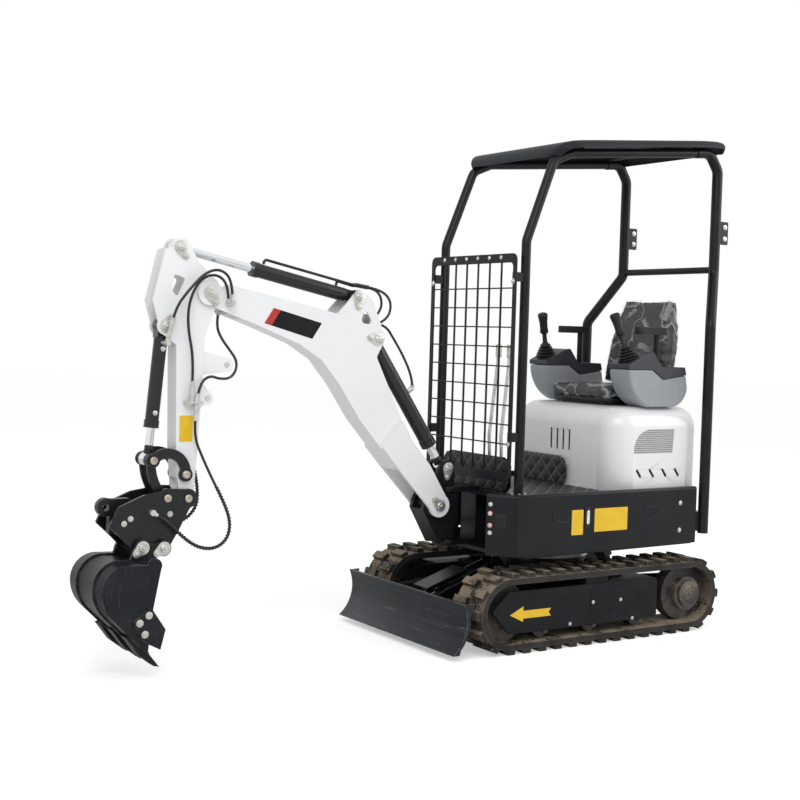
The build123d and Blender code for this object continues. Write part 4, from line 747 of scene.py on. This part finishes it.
# %% Cover plates, latch and grooves
COVER_FACE, TRACK_FACE, ARM_FACE, BOOM_FACE = 446.0, 448.0, 43.0, 58.0
X_WAY, Z_WAY = Vector((0.001, 0, 0)), Vector((0, 0, 0.001))


def add_side_plate(bm, low, high, face, way, depth, corner=4.0):
    """A flat plate with rounded corners on a side face, between two x-z corners."""
    points = []
    for cx, cz, first in ((high[0] - corner, high[1] - corner, 0), (low[0] + corner, high[1] - corner, 1),
                          (low[0] + corner, low[1] + corner, 2), (high[0] - corner, low[1] + corner, 3)):
        for step in range(5):
            angle = (first + step / 4) * pi / 2
            points.append((cx + corner * cos(angle), cz + corner * sin(angle)))
    add_plate(bm, points, mm(0, way * face, 0), X_WAY, Z_WAY, -way * depth / 1000)


bm = bmesh.new()
for low, high in (((136, 495), (202, 606)), ((-126, 503), (70, 607))):
    add_side_plate(bm, low, high, COVER_FACE, 1, 0.8)
make_piece("cover_plates", bm, plate_yellow, "house")
bm = bmesh.new()
for way in (1, -1):
    add_side_plate(bm, (98, 520), (130, 615), COVER_FACE, way, 4, 6)
make_piece("latch_plates", bm, grip_black, "house", bevel=0.001)
bm = bmesh.new()
for way in (1, -1):
    add_side_plate(bm, (106, 540), (122, 602), COVER_FACE + 4, way, 5, 7)
make_piece("latches", bm, chrome, "house", bevel=0.0015)
bm = bmesh.new()
for way in (1, -1):
    for route in (((-150, 528), (-200, 538), (-270, 556), (-325, 586), (-290, 598), (-230, 600)),
                  ((300, 600), (318, 580), (290, 562), (250, 553), (222, 549))):
        line = smooth_line("groove", [(x, way * COVER_FACE, z) for x, z in route])
        add_tube(bm, line, 0.0035, 8)
make_piece("cover_ribs", bm, black_paint, "house", smooth=60)
print("side covers dressed")

# %% Track side plates
ARROW = ((531, 170), (459, 203), (459, 184), (305, 184), (318, 167), (305, 150), (459, 150), (459, 136))
bm = bmesh.new()
for way in (1, -1):
    add_plate(bm, ARROW, mm(0, way * TRACK_FACE, 0), X_WAY, Z_WAY, -way * 0.0008)
make_piece("side_arrows", bm, plate_yellow, "undercarriage")
INSPECTION = 1.5
bm = bmesh.new()
for way in (1, -1):
    add_side_plate(bm, (-116, 139), (78, 240), TRACK_FACE, way, INSPECTION, 10)
make_piece("inspection_plates", bm, frame_black, "undercarriage", bevel=0.001)
bm = bmesh.new()
for way in (1, -1):
    for x, z, proud in ((64, 188, INSPECTION), (-100, 186, INSPECTION), (-176, 94, 0), (194, 102, 0)):
        add_bolt(bm, mm(x, way * (TRACK_FACE + proud), z), (0, way, 0), 11)
make_piece("track_bolts", bm, zinc, "undercarriage", bevel=0.0005)
bm = bmesh.new()
HUB = ((62, 0), (62, 3), (40, 5), (36, 10), (22, 11), (22, 13))
for way in (1, -1):
    add_lathe(bm, HUB, mm(-535, way * 444, 175), (0, way, 0), 32)
    add_bolt(bm, mm(-535, way * 454, 175), (0, way, 0), 20, washer=False)
make_piece("drive_hubs", bm, dark_steel, "undercarriage", bevel=0.0008)
print("track sides dressed")

# %% Bucket bolts, arm plate and cylinder plugs
bm = bmesh.new()
for x, z in ((2064, 260), (2101, 233), (2079, 188)):
    for way in (1, -1):
        add_bolt(bm, mm(x, way * 185, z), (0, way, 0), 19)
make_piece("cutter_bolts", bm, zinc, "bucket", bevel=0.0006)
bm = bmesh.new()
add_side_plate(bm, (1836, 908), (1893, 1012), ARM_FACE, 1, 0.8)
make_piece("arm_plate", bm, plate_yellow, "arm")
bm = bmesh.new()
BADGE = ((1494, 1449), (1268, 1393), (1312, 1327), (1536, 1386))
add_plate(bm, BADGE, mm(0, BOOM_FACE, 0), X_WAY, Z_WAY, -0.001)
make_piece("boom_plate", bm, frame_black, "boom")
bm = bmesh.new()
BADGE_END = ((1494, 1449), (1462, 1441), (1504, 1378), (1536, 1386))
add_plate(bm, BADGE_END, mm(0, BOOM_FACE + 1, 0), X_WAY, Z_WAY, -0.0004)
make_piece("boom_plate_end", bm, red_sleeve, "boom")
bm = bmesh.new()
for x, z in ((1962, 1273), (1990, 1022)):
    add_lathe(bm, ((10, 0), (10, 5), (7, 6), (7, 11), (5, 12)), mm(x, 26, z), (0, 1, 0), 18)
make_piece("cylinder_plugs", bm, zinc, "bucket_cylinder_barrel", bevel=0.0004)
bm = bmesh.new()
for x in (1822, 1866):
    for way in (1, -1):
        add_bolt(bm, mm(x, way * 68, 1070), (0, 0, 1), 11)
make_piece("bulkhead_bolts", bm, zinc, "arm", bevel=0.0004)
print("boom and bucket dressed")

# %% [markdown]
# ## Rod ends
# The rods are chrome, but their eyes are forgings painted black. The rod and its eye are one solid, so a
# black collar sleeve covers the eye's end of each rod.

# %% Rod collars
RODS = (
    ("boom_cylinder_rod", (600, 765), (989, 1333), 20.5, 34),
    ("arm_cylinder_rod", (1901, 1673), (1090, 1509), 18.5, 32),
    ("bucket_cylinder_rod", (2006, 838), (1956, 1363), 17.5, 32),
)
for body, eye, pin, radius, eye_r in RODS:
    way = Vector((pin[0] - eye[0], 0, pin[1] - eye[1])).normalized()
    bm = bmesh.new()
    sleeve = ((radius, eye_r - 12), (radius, eye_r + 22), (radius - 2, eye_r + 26))
    add_lathe(bm, sleeve, mm(eye[0], 0, eye[1]), way, 28)
    for side in (1, -1):
        ring = ((eye_r - 6, 23.8), (eye_r - 6, 25.5), (eye_r - 9, 26.5), (20, 26.5))
        add_lathe(bm, ring, mm(eye[0], 0, eye[1]), (0, side, 0), 32)
    make_piece(body + "_eye", bm, hitch_paint, body, bevel=0.0006)
print("rod ends made")

# %% [markdown]
# ## The seat
# The seat is foam under vinyl, still in the clear film it was delivered in. A block with round edges would
# look moulded, so the solid is remeshed fine and blown up a little as cloth: pressure pushes the faces out
# while the edges hold, which is just what foam does inside a sewn cover. How far a point may go is capped.

# %% Pads
def pad_from(node, name, shrink, pressure, cap, voxel=0.007):
    """A padded copy of a solid: drawn in, swollen as cloth, and shaded smooth."""
    mesh = nodes[node].data.copy()
    piece = bpy.data.objects.new(name, mesh)
    bpy.context.collection.objects.link(piece)
    mesh.materials.clear()
    mesh.materials.append(seat_vinyl)
    remesh = piece.modifiers.new("remesh", "REMESH")
    remesh.mode = "VOXEL"
    remesh.voxel_size = voxel
    bpy.context.view_layer.objects.active = piece
    bpy.ops.object.modifier_apply(modifier="remesh")
    mesh = piece.data
    for vert in mesh.vertices:
        vert.co -= vert.normal * shrink
    rest = [vert.co.copy() for vert in mesh.vertices]
    cloth = piece.modifiers.new("cloth", "CLOTH")
    cloth.settings.use_pressure = True
    cloth.settings.uniform_pressure_force = pressure
    cloth.settings.effector_weights.gravity = 0
    cloth.settings.quality = 4
    cloth.point_cache.frame_start = 1
    cloth.point_cache.frame_end = 14
    for number in range(1, 15):
        bpy.context.scene.frame_set(number)
    bpy.ops.object.modifier_apply(modifier="cloth")
    bpy.context.scene.frame_set(1)
    mesh = piece.data
    for vert, home in zip(mesh.vertices, rest):
        move = vert.co - home
        if move.length > cap:
            vert.co = home + move * (cap / move.length)
    for face in mesh.polygons:
        face.use_smooth = True
    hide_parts(node)
    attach(piece, "house")
    print(name, len(mesh.polygons), "faces")
    return piece


seat_pad = pad_from("seat_cushion", "seat_cushion_pad", 0.006, 4.0, 0.012)
back_pad = pad_from("seat_back", "seat_back_pad", 0.006, 4.0, 0.012)

# %% [markdown]
# Thin film never lies flat: it pulls into ridges between the points where it clings. Each film is a copy of
# its pad pushed out along its normals by a ridged noise, so it has sharp creases and calm hollows.

# %% Clear film
film, tree, inputs = start_material("clear_film", (0.93, 0.95, 0.97), Roughness=0.14, IOR=1.4, Alpha=0.1)
spots = place(tree, "ShaderNodeTexCoord").outputs["Object"]
crease = place(tree, "ShaderNodeTexNoise", {"Vector": spots, "Scale": 7.0, "Detail": 1.5, "Distortion": 0.8})
ridge = maths(tree, "ABSOLUTE", maths(tree, "SUBTRACT", crease.outputs[0], 0.5))
# Where the noise crosses its middle, the white film turns more opaque in thin lines: painted highlights along
# its creases.
painted_crease_highlight = ramp(tree, ridge, 0.045, 0.0)
tree.links.new(maths(tree, "ADD", maths(tree, "MULTIPLY", painted_crease_highlight, 0.26), 0.03), inputs["Alpha"])
add_bump(tree, inputs, ridge, 0.5, 0.012)


def film_over(pad, name, lift, crumple, size):
    """A crumpled film round a pad, clear of it everywhere."""
    mesh = pad.data.copy()
    mesh.materials.clear()
    mesh.materials.append(film)
    normals = [vert.normal.copy() for vert in mesh.vertices]
    for vert, normal in zip(mesh.vertices, normals):
        ridged = 1 - abs(noise.noise(vert.co * size + Vector((0.2, 0.7, 0.4))))
        finer = 1 - abs(noise.noise(vert.co * size * 2.3))
        vert.co += normal * (lift + crumple * (0.7 * ridged**3 + 0.3 * finer**4))
    piece = bpy.data.objects.new(name, mesh)
    bpy.context.collection.objects.link(piece)
    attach(piece, "house")
    print(name, len(mesh.polygons), "faces")
    return piece


film_over(seat_pad, "seat_cushion_film", 0.0015, 0.009, 9.0)
film_over(back_pad, "seat_back_film", 0.0015, 0.011, 7.5)

# %% [markdown]
# ## The quilted mat
# The mat is two skins of leathercloth with wadding between, sewn through in diamonds. The diamonds are real
# here: the sheet is a fine grid that sinks along the seams and rises between them. The thread is paler, and
# the finish finds it by the same sums, from the sheet's own measure in metres kept in its UV map.

# %% Quilt finish
DIAMOND = 0.078
quilt, tree, inputs = start_material("quilted_leathercloth", (0.02, 0.02, 0.021), Specular_IOR_Level=0.45)
sheet_place = place(tree, "ShaderNodeSeparateXYZ", {0: place(tree, "ShaderNodeTexCoord").outputs["UV"]})
seams = []
for kind in ("ADD", "SUBTRACT"):
    run = maths(tree, kind, sheet_place.outputs["X"], sheet_place.outputs["Y"])
    turns = maths(tree, "DIVIDE", run, DIAMOND)
    part_turn = maths(tree, "ABSOLUTE", maths(tree, "SUBTRACT", maths(tree, "FRACT", turns), 0.5))
    seams.append(maths(tree, "SUBTRACT", 0.5, part_turn))
nearest = maths(tree, "MINIMUM", seams[0], seams[1])
thread = ramp(tree, nearest, 0.02, 0.011)
skin = place(tree, "ShaderNodeGroup", node_tree=weather)
for key, value in (("Color", (0.013, 0.013, 0.013, 1)), ("Dust Color", (0.2, 0.17, 0.14, 1)), ("Dust", 0.3),
                   ("Mottle", 0.3), ("Scale", 22.0), ("Roughness", 0.48)):
    skin.inputs[key].default_value = value
tree.links.new(blend_colours(tree, thread, skin.outputs["Color"], (0.3, 0.26, 0.21, 1)), inputs["Base Color"])
tree.links.new(skin.outputs["Roughness"], inputs["Roughness"])
add_bump(tree, inputs, skin.outputs["Height"], 0.4, 0.001)


def puff(u, v):
    """How high the wadding stands between the seams, from 0 to 1."""
    heights = []
    for run in (u + v, u - v):
        share = run / DIAMOND % 1.0
        heights.append(abs(sin(pi * share)))
    return sqrt(min(heights))


# %% Mat sheets
MAT_CELL = 0.0065


def quilted_sheet(bm, layer, lay_out, width, length, inside, depth=0.0045, thickness=0.005):
    """One quilted skin, its edge turned down: a grid from a corner in two directions, raised in a third."""
    corner_spot, across_way, along_way, out_way = lay_out
    across, along_count = round(width / MAT_CELL), round(length / MAT_CELL)
    grid = {}
    for i in range(across + 1):
        for j in range(along_count + 1):
            u, v = width * i / across, length * j / along_count
            if inside(u, v) >= 0:
                spot = corner_spot + across_way * u + along_way * v
                rim = min(1.0, inside(u, v) / 0.018)
                height = (thickness + depth * puff(u, v)) * sqrt(max(0.0, rim * (2 - rim)))
                grid[i, j] = (bm.verts.new(spot + out_way * height), u, v)
    for (i, j) in list(grid):
        corners = [(i, j), (i + 1, j), (i + 1, j + 1), (i, j + 1)]
        if all(corner in grid for corner in corners):
            face = bm.faces.new([grid[corner][0] for corner in corners])
            for loop, corner in zip(face.loops, corners):
                loop[layer].uv = grid[corner][1:]


def rounded_inside(width, length, corner):
    """How far a point lies inside a rectangle with round corners."""
    def inside(u, v):
        du = abs(u - width / 2) - (width / 2 - corner)
        dv = abs(v - length / 2) - (length / 2 - corner)
        outside = sqrt(max(du, 0) ** 2 + max(dv, 0) ** 2) + min(max(du, dv), 0)
        return corner - outside
    return inside


bm = bmesh.new()
layer = bm.loops.layers.uv.new("measure")
Z_UP, X_ON, Y_ON = Vector((0, 0, 1)), Vector((1, 0, 0)), Vector((0, 1, 0))
floor_inside = rounded_inside(0.5, 0.69, 0.06)


def floor_keep(u, v):
    """Inside the floor sheet and clear of the posts' feet and the lever's box."""
    x, y = -0.085 + u, -0.33 + v
    clear = min(((x - 0.394) ** 2 + (y - s * 0.305) ** 2) ** 0.5 - 0.047 for s in (1, -1))
    box = max(abs(x - 0.285) - 0.035, abs(y) - 0.075)
    return min(floor_inside(u, v), clear, box)


front_inside = rounded_inside(0.5, 0.16, 0.045)
rear_inside = rounded_inside(0.38, 0.14, 0.035)
SHEETS = (
    (mm(-85, -330, 661.2), X_ON, Y_ON, Z_UP, 0.5, 0.69, floor_keep),
    (mm(405.5, -250, 661.5), Y_ON, Z_UP, X_ON, 0.5, 0.16, front_inside),
    (mm(394.5, -250, 661.5), Y_ON, Z_UP, -X_ON, 0.5, 0.16, front_inside),
    (mm(-74.5, -305, 661.5), Y_ON, Z_UP, X_ON, 0.38, 0.14, rear_inside),
)
for corner, across_way, along_way, out_way, width, length, inside in SHEETS:
    quilted_sheet(bm, layer, (corner, across_way, along_way, out_way), width, length, inside)
mat = make_piece("quilted_mat", bm, quilt, smooth=80)
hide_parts("floor_mat")
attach(mat, "house")
print("mat:", len(mat.data.polygons), "faces")

# %% [markdown]
# ## Joysticks
# Each stick rises from a rubber boot with round folds, and ends in a grip that flares at the top. A lathe
# profile with a wave in it gives the folds. The grip is turned too.

# %% Sticks
STICK_WAY = Vector((0.30, -0.18, 1)).normalized()
BOOT = [(50, 0), (51, 6)]
for fold in range(4):
    wide, low = 47 - fold * 7, 9 + fold * 14
    BOOT += [(wide - 7, low), (wide, low + 5), (wide, low + 9), (wide - 8, low + 13)]
GRIP = [(19, 122), (21, 130), (19, 150), (20, 178), (23, 200), (25, 212), (23, 221), (14, 226)]
STICK = BOOT + [(17, 68), (12, 74), (11, 118)] + GRIP
for side, name in ((1, "left"), (-1, "right")):
    foot = mm(-234, side * 299, 1268)
    way = Vector((STICK_WAY.x, side * STICK_WAY.y, STICK_WAY.z))
    bm = bmesh.new()
    add_lathe(bm, STICK, foot, way, 28)
    piece = make_piece("joystick_" + name, bm, grip_black, "house", smooth=50)
    if side > 0:
        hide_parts("joysticks")
print("joysticks made")

# %% [markdown]
# ## The roof
# The roof is one pressed sheet: it droops at the front, turns down at the rear, and its sides are rolled
# over. One smooth line runs from back to front. At each of its points a row of vertices goes across, and
# near both sides the row bends down a quarter circle.

# %% Roof sheet
ROOF_HALF, ROLL, FRONT_ROUND, REAR_ROUND = 0.379, 0.034, 0.11, 0.06
ROOF_SIDE = ((-776, 2264), (-768, 2306), (-690, 2317), (-420, 2291), (-150, 2265), (120, 2239), (214, 2226),
             (256, 2192), (267, 2160))
roof_line = smooth_line("roof_route", [(x, 0, z) for x, z in ROOF_SIDE])
FLAT_COLUMNS, ROLL_COLUMNS = 12, 7


def roof_half(x):
    """Half the roof's width at a place along it, less at its rounded corners."""
    front = max(0.0, x - (roof_line[-1].x - FRONT_ROUND))
    rear = max(0.0, roof_line[0].x + REAR_ROUND - x)
    front = FRONT_ROUND - sqrt(max(0.0, FRONT_ROUND**2 - front**2))
    rear = REAR_ROUND - sqrt(max(0.0, REAR_ROUND**2 - rear**2))
    return ROOF_HALF - 0.7 * front - 0.7 * rear


bm = bmesh.new()
rows = []
for step, spot in enumerate(roof_line):
    ahead = (roof_line[min(step + 1, len(roof_line) - 1)] - roof_line[max(step - 1, 0)]).normalized()
    inward = Vector((ahead.z, 0, -ahead.x))
    flat = roof_half(spot.x) - ROLL
    row = [(flat * (2 * k / FLAT_COLUMNS - 1), 0.0) for k in range(FLAT_COLUMNS + 1)]
    turns = [pi / 2 * k / ROLL_COLUMNS for k in range(1, ROLL_COLUMNS + 1)]
    rolled = [(flat + ROLL * sin(a), ROLL * (1 - cos(a))) for a in turns]
    row = [(-y, drop) for y, drop in reversed(rolled)] + row + rolled
    rows.append([bm.verts.new(spot + Vector((0, y, 0)) + inward * drop) for y, drop in row])
for low, high in zip(rows, rows[1:]):
    for step in range(len(low) - 1):
        bm.faces.new((low[step], low[step + 1], high[step + 1], high[step]))
bmesh.ops.recalc_face_normals(bm, faces=bm.faces)
bmesh.ops.solidify(bm, geom=bm.faces[:], thickness=0.005)
roof = make_piece("roof_sheet", bm, roof_black, "house", smooth=50)
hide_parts("canopy_roof")
print("roof:", len(roof.data.polygons), "faces")

# %% [markdown]
# ## Perforated grilles
# Punched sheet is a field of round holes. Cutting thousands of holes costs more faces than they are worth
# at this size, so the sheet's finish shows them: a dark dot where a staggered grid has its centres, painted
# shade for the dark space seen through each hole.

# %% Punched sheet
punched, tree, inputs = start_material("punched_sheet", (0.5, 0.5, 0.5), Roughness=0.45, Metallic=0.3)
spots = place(tree, "ShaderNodeSeparateXYZ", {0: place(tree, "ShaderNodeTexCoord").outputs["Object"]})
PITCH_HOLE = 0.0105
row = maths(tree, "DIVIDE", spots.outputs["Z"], PITCH_HOLE * 0.87)
odd = maths(tree, "MULTIPLY", maths(tree, "FLOORED_MODULO", maths(tree, "FLOOR", row), 2.0), 0.5)
column = maths(tree, "ADD", maths(tree, "DIVIDE", spots.outputs["X"], PITCH_HOLE), odd)
dx = maths(tree, "SUBTRACT", maths(tree, "FRACT", column), 0.5)
dz = maths(tree, "SUBTRACT", maths(tree, "FRACT", row), 0.5)
squares = [maths(tree, "MULTIPLY", gap, gap) for gap in (dx, dz)]
apart = maths(tree, "SQRT", maths(tree, "ADD", *squares))
hole = ramp(tree, apart, 0.36, 0.3)
SHEET_GREY, HOLE_SHADE = (0.56, 0.57, 0.58, 1), (0.012, 0.012, 0.013, 1)
# The dark dots are painted shade: the unlit space behind the sheet, seen through holes that are not cut.
tree.links.new(blend_colours(tree, hole, SHEET_GREY, HOLE_SHADE), inputs["Base Color"])
add_bump(tree, inputs, hole, 0.6, 0.002, invert=True)
nodes["hood_grilles"].data.materials.clear()
nodes["hood_grilles"].data.materials.append(punched)
print("grilles punched")

# %% [markdown]
# ## The studio
# The photograph has a plain white ground. Rays that go from the camera, or by way of gloss or glass, see a
# white world. The light that falls on the machine is a softer grey sky and two large lamps, so white paint
# keeps its shading.

# %% World and floor
SKY_LIGHT, FLOOR_GLOW = 0.58, 0.42
scene = bpy.context.scene
scene.view_settings.view_transform = "Standard"
world = bpy.data.worlds.new("studio")
scene.world = world
world.use_nodes = True
tree = world.node_tree
path = place(tree, "ShaderNodeLightPath").outputs
seen = maths(tree, "MAXIMUM", path["Is Camera Ray"], path["Is Transmission Ray"])
seen = maths(tree, "MAXIMUM", seen, path["Is Glossy Ray"])
strength = maths(tree, "ADD", maths(tree, "MULTIPLY", seen, 1 - SKY_LIGHT), SKY_LIGHT)
sky = tree.nodes["Background"]
sky.inputs["Color"].default_value = (1.0, 1.0, 1.0, 1.0)
tree.links.new(strength, sky.inputs["Strength"])

floor_mesh = bpy.data.meshes.new("floor")
floor_mesh.from_pydata([(-30, -30, 0), (30, -30, 0), (30, 30, 0), (-30, 30, 0)], [], [(0, 1, 2, 3)])
floor = bpy.data.objects.new("floor", floor_mesh)
bpy.context.collection.objects.link(floor)
floor_mat, tree, inputs = start_material("pale_floor", (0.9, 0.9, 0.9), Roughness=0.9)
path = place(tree, "ShaderNodeLightPath").outputs
inputs["Emission Color"].default_value = (1, 1, 1, 1)
tree.links.new(maths(tree, "MULTIPLY", path["Is Camera Ray"], FLOOR_GLOW), inputs["Emission Strength"])
floor_mesh.materials.append(floor_mat)


# %% Lamps
def area_light(name, spot, aim, size, power):
    """A soft square light that faces a point."""
    data = bpy.data.lights.new(name, "AREA")
    data.size = size
    data.energy = power
    lamp = bpy.data.objects.new(name, data)
    lamp.location = spot
    lamp.rotation_euler = (Vector(aim) - Vector(spot)).to_track_quat("-Z", "Y").to_euler()
    bpy.context.collection.objects.link(lamp)
    return lamp


area_light("key", (3.8, 4.2, 5.2), (0.4, 0, 1.0), 4.0, 165)
area_light("fill", (-4.5, 3.5, 3.5), (0.0, 0, 1.0), 4.0, 125)
print("lamps:", len(bpy.data.lights))
